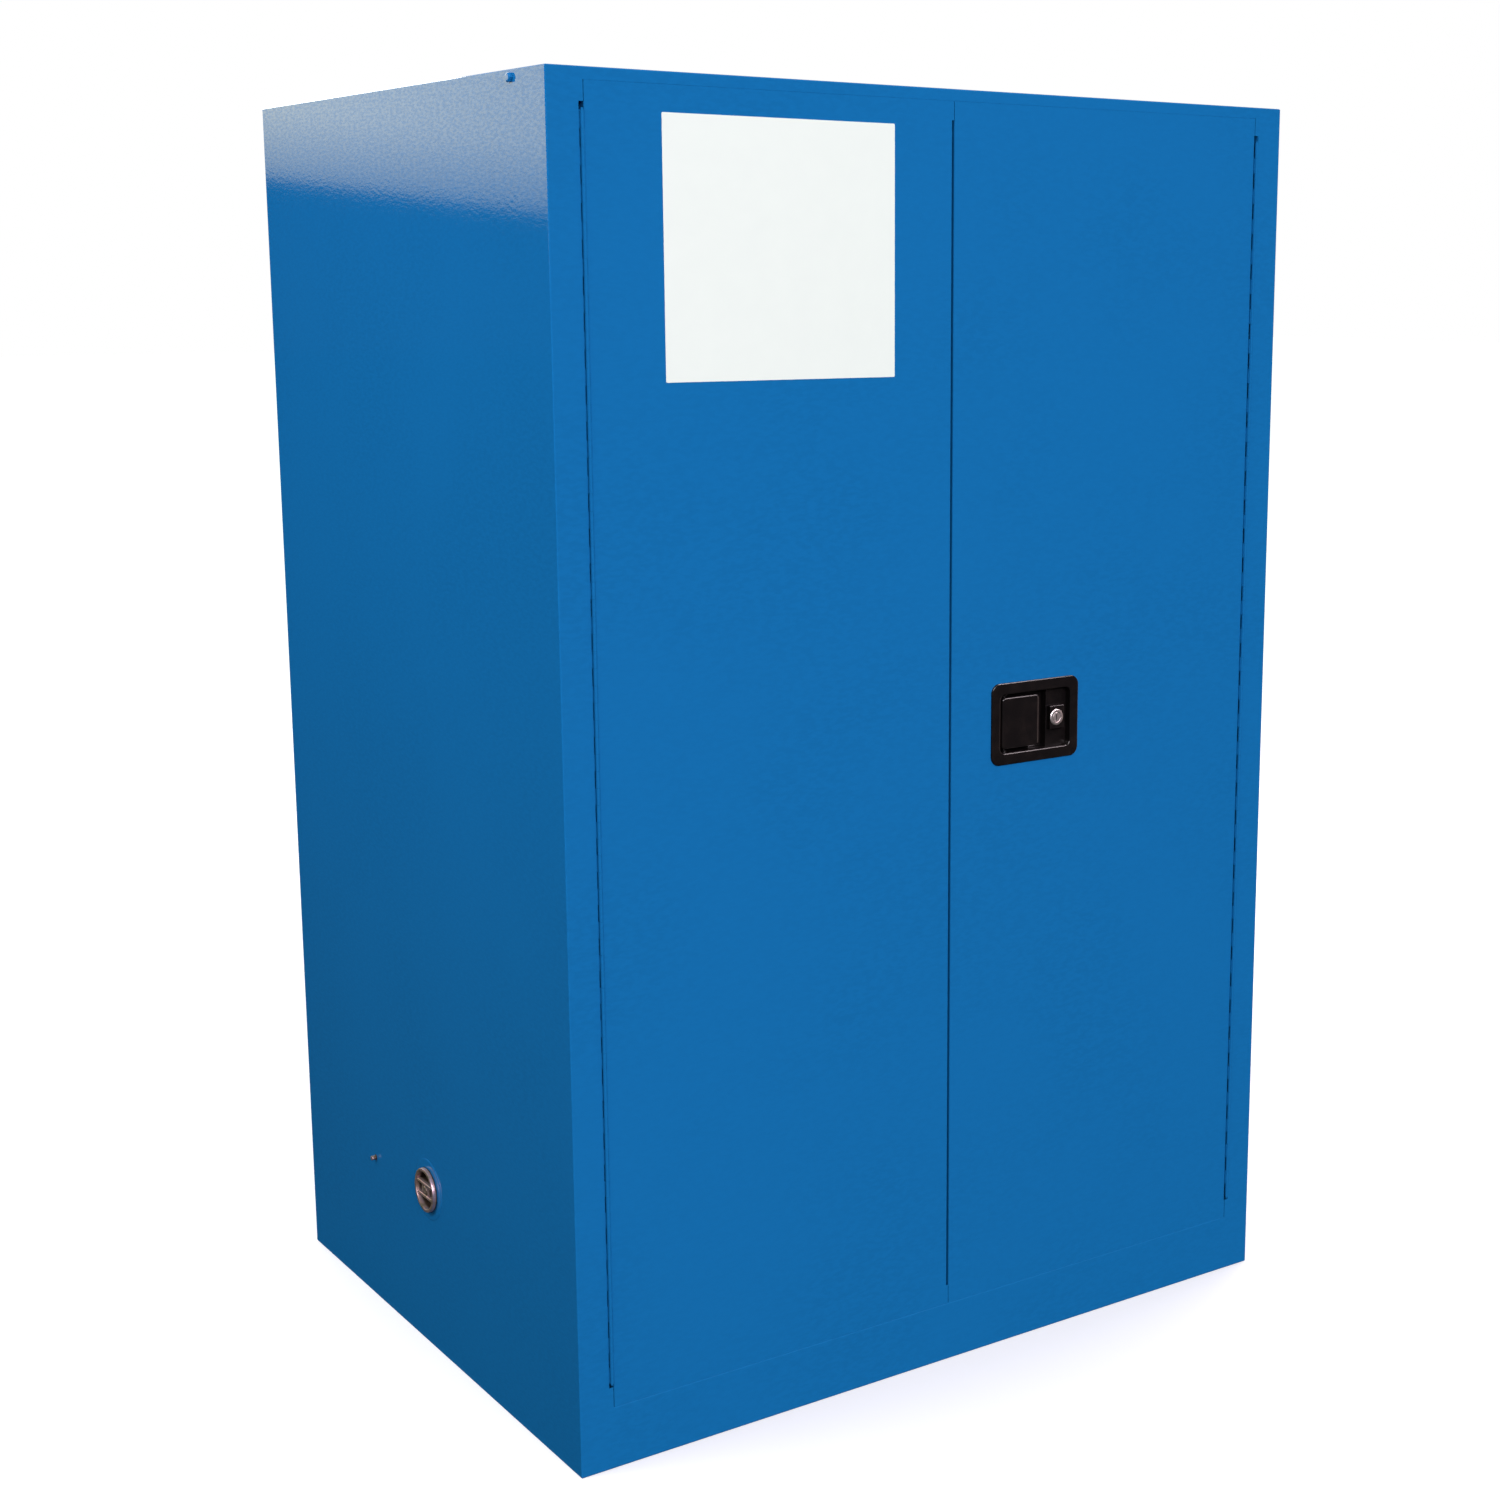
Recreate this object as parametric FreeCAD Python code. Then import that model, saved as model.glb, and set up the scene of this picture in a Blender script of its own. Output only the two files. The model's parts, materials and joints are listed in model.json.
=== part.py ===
"""Double-walled steel cabinet for corrosive liquids: two doors, three-point paddle latch.

Millimetres, +Z up, doors towards -Y. The origin is on the floor under the middle of the cabinet.
Every sub-part is written to parts/NODE.step.
"""
import FreeCAD, Part
import math
import os

from FreeCAD import Vector

# Cabinet
WIDTH = 1090.0
DEPTH = 860.0
HEIGHT = 1650.0
SHEET = 1.2                # gauge of every painted panel
BEND = 1.6                 # outside radius of a fold
GROUND = 1.0               # bevel ground on the ends of the front posts
WALL = 38.0                # outer skin to inside of the liner
SILL = 80.0                # height of the face below the doors
HEADER = 14.0              # height of the face above the doors
LAP = 15.0                 # flange where one panel laps another
FLOOR_FLANGE = 25.0        # return of the sill and back on which the cabinet stands
UNDERSIDE = 18.0           # bottom panel above the floor

# Doors and their opening
DOOR_THICK = 38.0
DOOR_GAP = 1.5             # each side of the centre line
END_GAP = 0.4              # above and below a door
CORNER_GAP = 0.8           # between the flat corners of the doors and round them
DOOR_EDGE = 499.0          # hinged edge of a closed door, from the centre line
JAMB = 505.0               # face of the jamb, from the centre line
STOP = 40.0                # front face to door stop
STOP_WIDTH = 16.5
SILL_STOP = 12.0
STRIKE = 3.0               # thickness of the plates that the rods enter

# Continuous hinge
HINGE_X = 502.0
HINGE_PROUD = 1.0          # axis in front of the doors' face, so that they fold flat back
HINGE_LOW = 112.0
HINGE_HIGH = 1604.0
KNUCKLES = 25
KNUCKLE_PLAY = 0.5
BARREL = 3.0               # half the barrel's width across its flats
LEAF = 1.2
LEAF_DEPTH = 31.0
LEAF_START = 3.6           # leaf clears the other leaf's knuckles
PIN = 1.5
PIN_PLAY = 0.05
NOTCH_REACH = 505.5        # notch in the post's face for the barrel
NOTCH_LOW = 106.0
NOTCH_HIGH = 1613.0

# Spill sump, shelves and what carries them
SUMP_FLOOR = 31.0
SUMP_DEPTH = 50.0
SHELF_LEVELS = {"lower_shelf": 600.0, "upper_shelf": 1100.0}
SHELF_HALF = 491.0
SHELF_FRONT = -366.0
SHELF_BACK = 376.0
SHELF_SHEET = 1.5
SHELF_RIM = 32.0
SHELF_HEM = 14.0
STANDARD_Y = (-290.0, 300.0)
STANDARD_WIDTH = 25.0
STANDARD_DEPTH = 10.0
STANDARD_SHEET = 1.5
STANDARD_LOW = 120.0
STANDARD_HIGH = 1570.0
SLOT_LOW = 300.0
SLOT_PITCH = 250.0
SLOT_WIDTH = 5.0
SLOT_HEIGHT = 16.0
HOOK_THICK = 4.0
HOOK_REACH = 24.0

# Paddle latch, placed from the centre line and the floor; depths are behind the door's face
LATCH_X = 136.0
LATCH_Z = 858.0
PLATE_WIDTH = 143.0
PLATE_HEIGHT = 108.0
PLATE_CORNER = 13.0
PLATE_PROUD = 2.5
PAN_WIDTH = 115.0
PAN_HEIGHT = 78.0
PAN_CORNER = 8.0
PAN_WALL = 1.5
PAN_DEPTH = 18.0
LAND_X = 24.0              # finger slot ends and the raised land starts, from the latch's middle
LAND_DEPTH = 7.0
LOCK_X = 37.0              # lock, from the latch's middle
LOCK_PAD = (24.3, 49.5)
LOCK_PAD_HALF = 15.5
LOCK_PAD_DEPTH = 0.5
PADDLE_LEFT = -52.4
PADDLE_RIGHT = 11.5
PADDLE_HALF = 34.0
PADDLE_DEPTH = 0.6
PADDLE_WALL = 2.5
PADDLE_SIDE = 6.0
PADDLE_ROLL = 5.0          # radius of the rolled edge that the fingers pull
PIVOT_X = -44.0
PIVOT_DEPTH = 8.0
PIVOT_PIN = 2.0
PIVOT_HUB = 4.5
PIVOT_BOSS = 3.5           # boss on the pan round each end of the pin
BOSS_REACH = 3.0
TAIL = 17.0
TAIL_THICK = 4.0
SWING = 35.0               # travel of the paddle and of the rotor, in degrees

# Latch works behind the pan
ROTOR_X = 98.5
ROTOR_Z = 840.0
ROTOR_DEPTH = 25.6
ROTOR_THICK = 3.0
ROTOR_ARM = 30.0
ROTOR_ARM_HALF = 7.0
DRIVE_ARM = 18.0
DRIVE_PIN = 2.5
CRANK_PIN = 3.0
CRANK_PLAY = 0.05
POST = 4.0
TONGUE_DEPTH = 29.0
TONGUE_THICK = 3.0
TONGUE_HALF = 8.0
TONGUE = 55.0
ROD = 4.0
ROD_TOP = 1646.0
ROD_FOOT = 68.0
BOLT_TIP = -12.0
BOLT_HALF = 7.0
BOLT_BLOCK = 46.0
BLOCKING_LUG = (865.2, 873.0)
LUG_REACH = 153.0
LOCK_BARREL = 9.5
LOCK_SIDES = 12
LOCK_FLANGE = 10.25
LOCK_PLUG = 6.0
LOCK_NUT = 11.2
LOCK_SPIGOT = 2.5
CAM_THICK = 2.5
CAM_REACH = 28.0
CAM_HALF = 6.0

# Vents, earthing stud, panel bolts and feet
VENT_Y = 2.0
VENT_Z = {"left": 225.0, "right": 1431.0}
BUNG = 30.0
BUNG_SIDES = 24
BUNG_PROUD = 7.0
BUNG_BODY = 27.0
BUNG_PLAY = 0.05
VENT_NECK = 33.0
NECK_SIDES = 12
VENT_RING = 42.0
VENT_RING_THICK = 1.0
GASKET = 1.0
STUD_Y = 182.5
STUD_Z = 212.0
STUD = 3.0
STUD_PROUD = 7.0
STUD_COLLAR = 4.2
PANEL_BOLT_Y = -346.0
PANEL_BOLT_Z = 1641.0
PANEL_BOLT_FLATS = 10.0
PANEL_BOLT_HEAD = 4.5
FOOT_X = 524.0
FOOT_Y = (-408.0, 410.0)
FOOT_HEAD = 12.0           # half the levelling bolt's head across its flats
FOOT_STEM = 6.0
FOOT_CLEAR = 0.5
FOOT_TOP = 60.0

# Worked out from the sizes above
SIDE = WIDTH / 2
FRONT = -DEPTH / 2
BACK = DEPTH / 2
LINER_X = SIDE - WALL
LINER_Y = BACK - WALL
CEILING = HEIGHT - WALL
OPENING_TOP = HEIGHT - HEADER
POST_LIP = DOOR_EDGE + CORNER_GAP                  # edge of the post's face above and below the hinge
DOOR_LOW = SILL + END_GAP
DOOR_HIGH = OPENING_TOP - END_GAP
STOP_Y = FRONT + STOP
HINGE_Y = FRONT - HINGE_PROUD
HALF_SWING = math.radians(SWING / 2)
SLACK = ROTOR_ARM * (1 - math.cos(HALF_SWING))     # sideways travel of a crank pin
MID_ARM = ROTOR_ARM - SLACK / 2
CRANK_RISE = ROTOR_ARM * math.sin(HALF_SWING)
ROD_DEPTH = TONGUE_DEPTH + TONGUE_THICK / 2
UPPER_ROD_X = ROTOR_X + MID_ARM
LOWER_ROD_X = ROTOR_X - MID_ARM
BOLT_Z = ROTOR_Z + MID_ARM


def block(x, y, z):
    """Box between three pairs of low and high."""
    return Part.makeBox(x[1] - x[0], y[1] - y[0], z[1] - z[0], Vector(x[0], y[0], z[0]))


def cylinder(start, end, radius):
    start, end = Vector(*start), Vector(*end)
    return Part.makeCylinder(radius, start.distanceToPoint(end), start, end - start)


def prism(points, run):
    """Solid swept from a closed outline along a vector."""
    corners = [Vector(*p) for p in points]
    return Part.Face(Part.makePolygon(corners + corners[:1])).extrude(Vector(*run))


def faceted(start, end, flat_radius, sides=8):
    """Bar with flat sides, each at the same distance from its axis."""
    start, run = Vector(*start), Vector(*end) - Vector(*start)
    side = Vector(1, 0, 0) if run.z else Vector(0, 0, 1)
    other = run.cross(side).normalize()
    radius = flat_radius / math.cos(math.pi / sides)
    turns = [(k + 0.5) * 2 * math.pi / sides for k in range(sides)]
    corners = [start + side * (radius * math.cos(a)) + other * (radius * math.sin(a)) for a in turns]
    return prism(corners, run)


def bent_wire(points, radius):
    """Straight runs through the points, joined by tangent arcs."""
    points = [Vector(*p) for p in points]
    start = points[0]
    edges = []
    for before, corner, after in zip(points, points[1:], points[2:]):
        back = (before - corner).normalize()
        on = (after - corner).normalize()
        half = back.getAngle(on) / 2
        reach = radius / math.tan(half)
        middle = (back + on).normalize() * (radius / math.sin(half) - radius)
        edges.append(Part.LineSegment(start, corner + back * reach).toShape())
        edges.append(Part.Arc(corner + back * reach, corner + middle, corner + on * reach).toShape())
        start = corner + on * reach
    edges.append(Part.LineSegment(start, points[-1]).toShape())
    return Part.Wire(edges)


def folded(points, inside, run, radius=BEND):
    """Folded sheet: the path of one face, a point on its other side, and the length of the fold."""
    wire = bent_wire(points, radius)
    sides = [wire.makeOffset2D(way * SHEET, 0, True, True) for way in (1, -1)]
    near = min(sides, key=lambda face: face.CenterOfMass.distanceToPoint(Vector(*inside)))
    return near.extrude(Vector(*run))


def along_y_rounded(solid, radius):
    """The solid with its edges along Y rounded."""
    edges = [e for e in solid.Edges if abs(abs(e.tangentAt(e.FirstParameter).y) - 1) < 1e-6]
    return solid.makeFillet(radius, edges)


def mirrored(shape):
    return shape.mirror(Vector(0, 0, 0), Vector(1, 0, 0))


def turned_y(shape, x, z, degrees):
    """Turn about an axis along Y through x and z."""
    copy = shape.copy()
    copy.rotate(Vector(x, 0, z), Vector(0, 1, 0), degrees)
    return copy


def depth(*behind):
    """Y of distances behind the doors' face."""
    return tuple(FRONT + d for d in behind)


# Outer casing

def side_panel():
    """Left side with its front post, notched for the hinge's barrel."""
    panel = folded([(-POST_LIP, FRONT, 0), (-SIDE, FRONT, 0), (-SIDE, BACK, 0)], (0, 0, 0), (0, 0, HEIGHT))
    notch = block((-NOTCH_REACH, -POST_LIP + 1), (FRONT - 1, FRONT + SHEET + 1), (NOTCH_LOW, NOTCH_HIGH))
    ends = [e for e in panel.Edges if abs(e.CenterOfMass.z - HEIGHT / 2) > HEIGHT / 2 - 0.1
            and abs(e.CenterOfMass.y - FRONT) < 0.01]
    return panel.makeChamfer(GROUND, ends).cut(notch)


def pierced_side(side):
    """Side panel with the holes of its vent, stud and bolt, on the left or right."""
    panel = side_panel()
    across = ((-SIDE - 1, 0, 0), (-SIDE + SHEET + 1, 0, 0))
    holes = [(VENT_Y, VENT_Z[side], VENT_NECK), (PANEL_BOLT_Y, PANEL_BOLT_Z, STUD)]
    if side == "left":
        holes.append((STUD_Y, STUD_Z, STUD_COLLAR))
    for y, z, radius in holes:
        ends = [(x, y, z) for x, _, _ in across]
        panel = panel.cut(faceted(ends[0], ends[1], radius, NECK_SIDES))
    return panel if side == "left" else mirrored(panel)


def back_panel():
    inner = SIDE - SHEET
    sheet = folded(
        [(-inner, BACK - LAP, 0), (-inner, BACK, 0), (inner, BACK, 0), (inner, BACK - LAP, 0)],
        (0, 0, 0), (0, 0, HEIGHT - SHEET))
    base = block((-inner + 50, inner - 50), (BACK - FLOOR_FLANGE, BACK - SHEET), (0, SHEET))
    return sheet.fuse(base).removeSplitter()


def top_panel():
    """Lid with a lap down each side, and the header face folded down in front."""
    inner = SIDE - SHEET
    lid = folded(
        [(-inner, 0, HEIGHT - LAP), (-inner, 0, HEIGHT), (inner, 0, HEIGHT), (inner, 0, HEIGHT - LAP)],
        (0, 0, 0), (0, BACK - SHEET - FRONT - SHEET, 0))
    lid.translate(Vector(0, FRONT + SHEET, 0))
    clear_of_back = block((-inner - 1, inner + 1), (BACK - LAP - BEND, BACK), (0, HEIGHT - SHEET))
    header = folded(
        [(-POST_LIP, FRONT, OPENING_TOP), (-POST_LIP, FRONT, HEIGHT), (-POST_LIP, FRONT + LAP, HEIGHT)],
        (-POST_LIP, 0, 0), (2 * POST_LIP, 0, 0))
    back_edge = block((-inner + BEND, inner - BEND), (BACK - SHEET - 1, BACK), (HEIGHT - SHEET, HEIGHT))
    return lid.cut(clear_of_back).fuse([header, back_edge]).removeSplitter()


def bottom_panel():
    """Underside between the side panels, with the clearance holes of the feet."""
    inner = SIDE - SHEET
    run = BACK - SHEET - FRONT - 2 * SHEET
    rise = UNDERSIDE + LAP
    panel = folded(
        [(-inner, 0, rise), (-inner, 0, UNDERSIDE), (inner, 0, UNDERSIDE), (inner, 0, rise)],
        (0, 0, HEIGHT), (0, run, 0))
    panel.translate(Vector(0, FRONT + 2 * SHEET, 0))
    laps = [block((x, x + 2 * BEND), (BACK - LAP - BEND, BACK), (0, rise + 1))
            for x in (-inner - BEND, inner - BEND)]
    holes = [faceted((x, y, 0), (x, y, 2 * UNDERSIDE), FOOT_STEM + 2) for x, y in foot_places()]
    return panel.cut(laps + holes)


def front_sill():
    """Face below the doors, with the floor flange, the door's sill and its stop."""
    face = folded(
        [(-POST_LIP, FRONT + FLOOR_FLANGE, 0), (-POST_LIP, FRONT, 0), (-POST_LIP, FRONT, SILL),
         (-POST_LIP, STOP_Y, SILL), (-POST_LIP, STOP_Y, SILL + SILL_STOP)],
        (-POST_LIP, 0, 0), (2 * POST_LIP, 0, 0))
    ends = [block((x, x + JAMB - POST_LIP), (FRONT + SHEET, STOP_Y), (SILL - SHEET, SILL))
            for x in (-JAMB, POST_LIP)]
    past_stop = [block((x, x + STOP_WIDTH), (STOP_Y - BEND, STOP_Y + BEND), (SILL, SILL + 2 * SILL_STOP))
                 for x in (-JAMB, JAMB - STOP_WIDTH)]
    rod_hole = faceted((LOWER_ROD_X, rod_y(), SILL - 5), (LOWER_ROD_X, rod_y(), SILL + 1), ROD + 1)
    return face.fuse(ends).removeSplitter().cut(past_stop + [rod_hole])


# Frame of the door opening

def jamb():
    """Left side of the opening: weld flange behind the post, jamb and door stop."""
    return folded(
        [(-JAMB - LAP, FRONT + SHEET, 0), (-JAMB, FRONT + SHEET, 0), (-JAMB, STOP_Y, 0),
         (-JAMB + STOP_WIDTH, STOP_Y, 0)],
        (-WIDTH, 0, 0), (0, 0, OPENING_TOP - SILL)).translated(Vector(0, 0, SILL))


def header_jamb():
    """Top of the opening, with the hole of the upper rod."""
    head = folded(
        [(-JAMB, FRONT + SHEET, OPENING_TOP + LAP / 2 + 1), (-JAMB, FRONT + SHEET, OPENING_TOP),
         (-JAMB, STOP_Y, OPENING_TOP), (-JAMB, STOP_Y, CEILING - SHEET)],
        (-JAMB, 0, 2 * HEIGHT), (2 * JAMB, 0, 0))
    past_stop = [block((x, x + STOP_WIDTH), (STOP_Y - 2 * BEND, STOP_Y + BEND), (CEILING - LAP, OPENING_TOP))
                 for x in (-JAMB, JAMB - STOP_WIDTH)]
    low, high = OPENING_TOP - 1, OPENING_TOP + 2
    rod_hole = faceted((UPPER_ROD_X, rod_y(), low), (UPPER_ROD_X, rod_y(), high), ROD + 1)
    return head.cut(past_stop + [rod_hole])


def strike(x, low):
    """Hardened plate round the end of a rod."""
    plate = block((x - 20, x + 20), (rod_y() - 9, rod_y() + 9), (low, low + STRIKE))
    return plate.cut(faceted((x, rod_y(), low - 1), (x, rod_y(), low + STRIKE + 1), ROD + 0.5))


# Liner and what it carries

def liner_side(side):
    """Left or right wall of the inside, turned in behind the door stop."""
    wall = folded(
        [(-JAMB + STOP_WIDTH - SHEET, STOP_Y + SHEET, 0), (-LINER_X - SHEET, STOP_Y + SHEET, 0),
         (-LINER_X - SHEET, LINER_Y + SHEET, 0)],
        (0, 0, 0), (0, 0, CEILING - SUMP_FLOOR + SHEET))
    wall.translate(Vector(0, 0, SUMP_FLOOR - SHEET))
    z = VENT_Z[side]
    wall = wall.cut(faceted((-LINER_X - 3, VENT_Y, z), (-LINER_X + 3, VENT_Y, z), VENT_NECK, NECK_SIDES))
    return wall if side == "left" else mirrored(wall)


def liner_back():
    low = SUMP_FLOOR - SHEET
    return block((-LINER_X, LINER_X), (LINER_Y, LINER_Y + SHEET), (low, CEILING))


def liner_ceiling():
    """Inside top, turned up behind the header's stop."""
    return folded(
        [(-LINER_X, STOP_Y + SHEET, CEILING + LAP), (-LINER_X, STOP_Y + SHEET, CEILING),
         (-LINER_X, LINER_Y + SHEET, CEILING)],
        (-LINER_X, 0, 2 * HEIGHT), (2 * LINER_X, 0, 0))


def sump_tray():
    """Liquid-tight tray that the bottom of the cabinet holds."""
    front = STOP_Y + SHEET + BEND
    outer = block((-LINER_X, LINER_X), (front, LINER_Y), (SUMP_FLOOR - SHEET, SUMP_FLOOR + SUMP_DEPTH))
    inner = block((-LINER_X + SHEET, LINER_X - SHEET), (front + SHEET, LINER_Y - SHEET),
                  (SUMP_FLOOR, HEIGHT))
    return outer.cut(inner)


def shelf_standard():
    """Slotted channel on the left wall, centred on y = 0."""
    half = STANDARD_WIDTH / 2
    face = -LINER_X + STANDARD_DEPTH
    z = (STANDARD_LOW, STANDARD_HIGH)
    channel = block((-LINER_X, face), (-half, half), z)
    hollow = block((-LINER_X, face - STANDARD_SHEET), (-half + STANDARD_SHEET, half - STANDARD_SHEET), z)
    count = 1 + int((STANDARD_HIGH - SLOT_LOW - SLOT_HEIGHT) / SLOT_PITCH)
    slot = block((face - 3, face + 1), (-SLOT_WIDTH / 2, SLOT_WIDTH / 2), (SLOT_LOW, SLOT_LOW + SLOT_HEIGHT))
    slots = [slot.translated(Vector(0, 0, SLOT_PITCH * k)) for k in range(count)]
    return channel.cut([hollow] + slots)


def shelf_hook(level):
    """Tongue in a standard's slot, under the rim of a shelf; left wall, centred on y = 0."""
    face = -LINER_X + STANDARD_DEPTH
    root = face - STANDARD_SHEET - 2
    rest = level - SHELF_RIM
    low, high = rest - SLOT_HEIGHT - 1, rest - 3
    outline = [(root, 0, low), (face, 0, low), (face, 0, rest - 30), (face + HOOK_REACH, 0, rest - 8),
               (face + HOOK_REACH, 0, rest), (face, 0, rest), (face, 0, high), (root, 0, high)]
    hook = prism(outline, (0, HOOK_THICK, 0))
    hook.translate(Vector(0, -HOOK_THICK / 2, 0))
    return hook


def on_four_walls(shape):
    """Copies at both standards of both side walls."""
    left = [shape.translated(Vector(0, y, 0)) for y in STANDARD_Y]
    return left + [mirrored(s) for s in left]


def shelf(level):
    """Pressed shelf: rims folded down all round, hemmed under at the front and back."""
    x = (-SHELF_HALF, SHELF_HALF)
    y = (SHELF_FRONT, SHELF_BACK)
    low = level - SHELF_RIM
    t = SHELF_SHEET
    outer = block(x, y, (low, level))
    long_edges = [e for e in outer.Edges if e.CenterOfMass.z > level - 1e-6 and e.Length > 800]
    outer = outer.makeFillet(BEND, long_edges)
    hollow = block((x[0] + t, x[1] - t), (y[0] + t, y[1] - t), (low + t, level - t))
    mouth = block((x[0] + t, x[1] - t), (y[0] + SHELF_HEM, y[1] - SHELF_HEM), (low - 1, level - t))
    return outer.cut([hollow, mouth]).removeSplitter()


# Continuous hinge

def hinge_bar(flat_radius, sides, low, high):
    return faceted((-HINGE_X, HINGE_Y, low), (-HINGE_X, HINGE_Y, high), flat_radius, sides)


def hinge_leaf(way, first):
    """Leaf of the left hinge on the jamb (way -1) or the door (way 1), with every second knuckle."""
    face, back = sorted((-HINGE_X + way * BARREL, -HINGE_X + way * (BARREL - LEAF)))
    whole = (HINGE_LOW, HINGE_HIGH)
    curl = block((face, back), (HINGE_Y, HINGE_Y + LEAF_START), whole)
    barrel = hinge_bar(BARREL, 6, *whole).fuse(curl).removeSplitter()
    pitch = (HINGE_HIGH - HINGE_LOW) / KNUCKLES
    gaps = []
    for k in range(1 - first, KNUCKLES, 2):
        low = HINGE_LOW + k * pitch - (KNUCKLE_PLAY if k else 1)
        high = HINGE_LOW + (k + 1) * pitch + (KNUCKLE_PLAY if k < KNUCKLES - 1 else 1)
        gaps.append(block((-HINGE_X - 5, -HINGE_X + 5), (HINGE_Y - 5, HINGE_Y + LEAF_START), (low, high)))
    bore = hinge_bar(PIN + PIN_PLAY, 4, HINGE_LOW - 1, HINGE_HIGH + 1)
    knuckles = barrel.cut(bore).cut(gaps)
    plate = block((face, back), (HINGE_Y + LEAF_START, HINGE_Y + LEAF_DEPTH), whole)
    return plate.fuse(knuckles.Solids).removeSplitter()


def hinge_pin():
    start, end = HINGE_LOW - 2, HINGE_HIGH + 2
    return cylinder((-HINGE_X, HINGE_Y, start), (-HINGE_X, HINGE_Y, end), PIN)


# Doors

def rod_y():
    return FRONT + ROD_DEPTH


def door_skin():
    """Left door's outer skin: a face with four returned edges, open at the back."""
    x, z = (-DOOR_EDGE, -DOOR_GAP), (DOOR_LOW, DOOR_HIGH)
    y = depth(0, DOOR_THICK)
    outer = block(x, y, z)
    rim = [e for e in outer.Edges if abs(e.CenterOfMass.y - FRONT) < 1e-6]
    outer = outer.makeFillet(BEND, rim)
    inner = block((x[0] + SHEET, x[1] - SHEET), (y[0] + SHEET, y[1] + 1), (z[0] + SHEET, z[1] - SHEET))
    return outer.cut(inner)


def flat_corners(hinge_edge, centre_edge):
    """Corners of a door's face past the ends of the hinge, where the face runs flat to its edges."""
    corners = []
    for z in ((DOOR_LOW + BEND, NOTCH_LOW), (NOTCH_HIGH, DOOR_HIGH - BEND)):
        for edge, inward in (hinge_edge, centre_edge):
            corners.append(block(sorted((edge, inward)), depth(0, SHEET), z))
    return corners


def door_liner():
    """Left door's inner sheet, turned forward round its edges inside the skin."""
    x = (-DOOR_EDGE + SHEET, -DOOR_GAP - SHEET)
    z = (DOOR_LOW + SHEET, DOOR_HIGH - SHEET)
    y = depth(DOOR_THICK - SHEET, DOOR_THICK)
    return block(x, y, z)


def bolt_window(x):
    """Opening in a door's centre edge for the sideways bolt."""
    return block(x, depth(26, 36), (BOLT_Z - BOLT_HALF - 1, BOLT_Z + BOLT_HALF + 1))


def left_door_skin():
    """Its flat corners reach across the centre gap to within CORNER_GAP of the right door's."""
    corners = flat_corners((-DOOR_EDGE, -DOOR_EDGE + 2 * BEND), (DOOR_GAP - CORNER_GAP, -DOOR_GAP - 2 * BEND))
    return door_skin().fuse(corners).removeSplitter().cut(bolt_window((-DOOR_GAP - SHEET - 1, 0)))


def left_door_keeper():
    """Plate behind the left door's edge that the sideways bolt enters, folded onto the skin."""
    edge = -DOOR_GAP - SHEET
    plate = block((edge - 3, edge), depth(SHEET, DOOR_THICK - 2 * SHEET), (BOLT_Z - 25, BOLT_Z + 25))
    foot = block((edge - 25, edge), depth(SHEET, SHEET + 3), (BOLT_Z - 25, BOLT_Z + 25))
    return plate.fuse(foot).removeSplitter().cut(bolt_window((edge - 4, 0)))


def latch_block(grow, y):
    """Block round the latch's middle, larger all round than the inside of the pan."""
    half_x, half_z = PAN_WIDTH / 2 + grow, PAN_HEIGHT / 2 + grow
    return block((LATCH_X - half_x, LATCH_X + half_x), y, (LATCH_Z - half_z, LATCH_Z + half_z))


def right_door_skin():
    """Mirror of the left skin, cut out for the latch, both rods and the bolt."""
    cut_out = latch_block(PAN_WALL + 1, (FRONT - 1, FRONT + SHEET + 1))
    rods = [faceted((x, rod_y(), z - 3), (x, rod_y(), z + 3), ROD + 1)
            for x, z in ((UPPER_ROD_X, DOOR_HIGH), (LOWER_ROD_X, DOOR_LOW))]
    corners = flat_corners((DOOR_EDGE, DOOR_EDGE - 2 * BEND), (DOOR_GAP, DOOR_GAP + 2 * BEND))
    skin = mirrored(door_skin()).fuse(corners).removeSplitter()
    return skin.cut([cut_out, bolt_window((0, DOOR_GAP + SHEET + 1))] + rods)


def rod_guide(x, z):
    """Bracket on the inside of the skin, with a running hole for a rod."""
    foot = block((x - 15, x + 15), depth(SHEET, SHEET + 2), (z - 12, z + 12))
    web = block((x - 12, x + 12), depth(SHEET, 36), (z - 1.5, z + 1.5))
    hole = faceted((x, rod_y(), z - 3), (x, rod_y(), z + 3), ROD + 0.08)
    return foot.fuse(web).removeSplitter().cut(hole)


def bolt_guide():
    foot = block((16, 40), depth(SHEET, SHEET + 2), (BOLT_Z - 13, BOLT_Z + 13))
    web = block((16, 19), depth(SHEET, 36.5), (BOLT_Z - 13, BOLT_Z + 13))
    play = 0.1
    window = block((10, 22), depth(27 - play, 35 + play),
                   (BOLT_Z - BOLT_HALF - play, BOLT_Z + BOLT_HALF + play))
    return foot.fuse(web).removeSplitter().cut(window)


def rod_guides():
    places = [(UPPER_ROD_X, 1590), (UPPER_ROD_X, 1240), (LOWER_ROD_X, 126), (LOWER_ROD_X, 470)]
    return [rod_guide(x, z) for x, z in places] + [bolt_guide()]


# Latch

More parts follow.
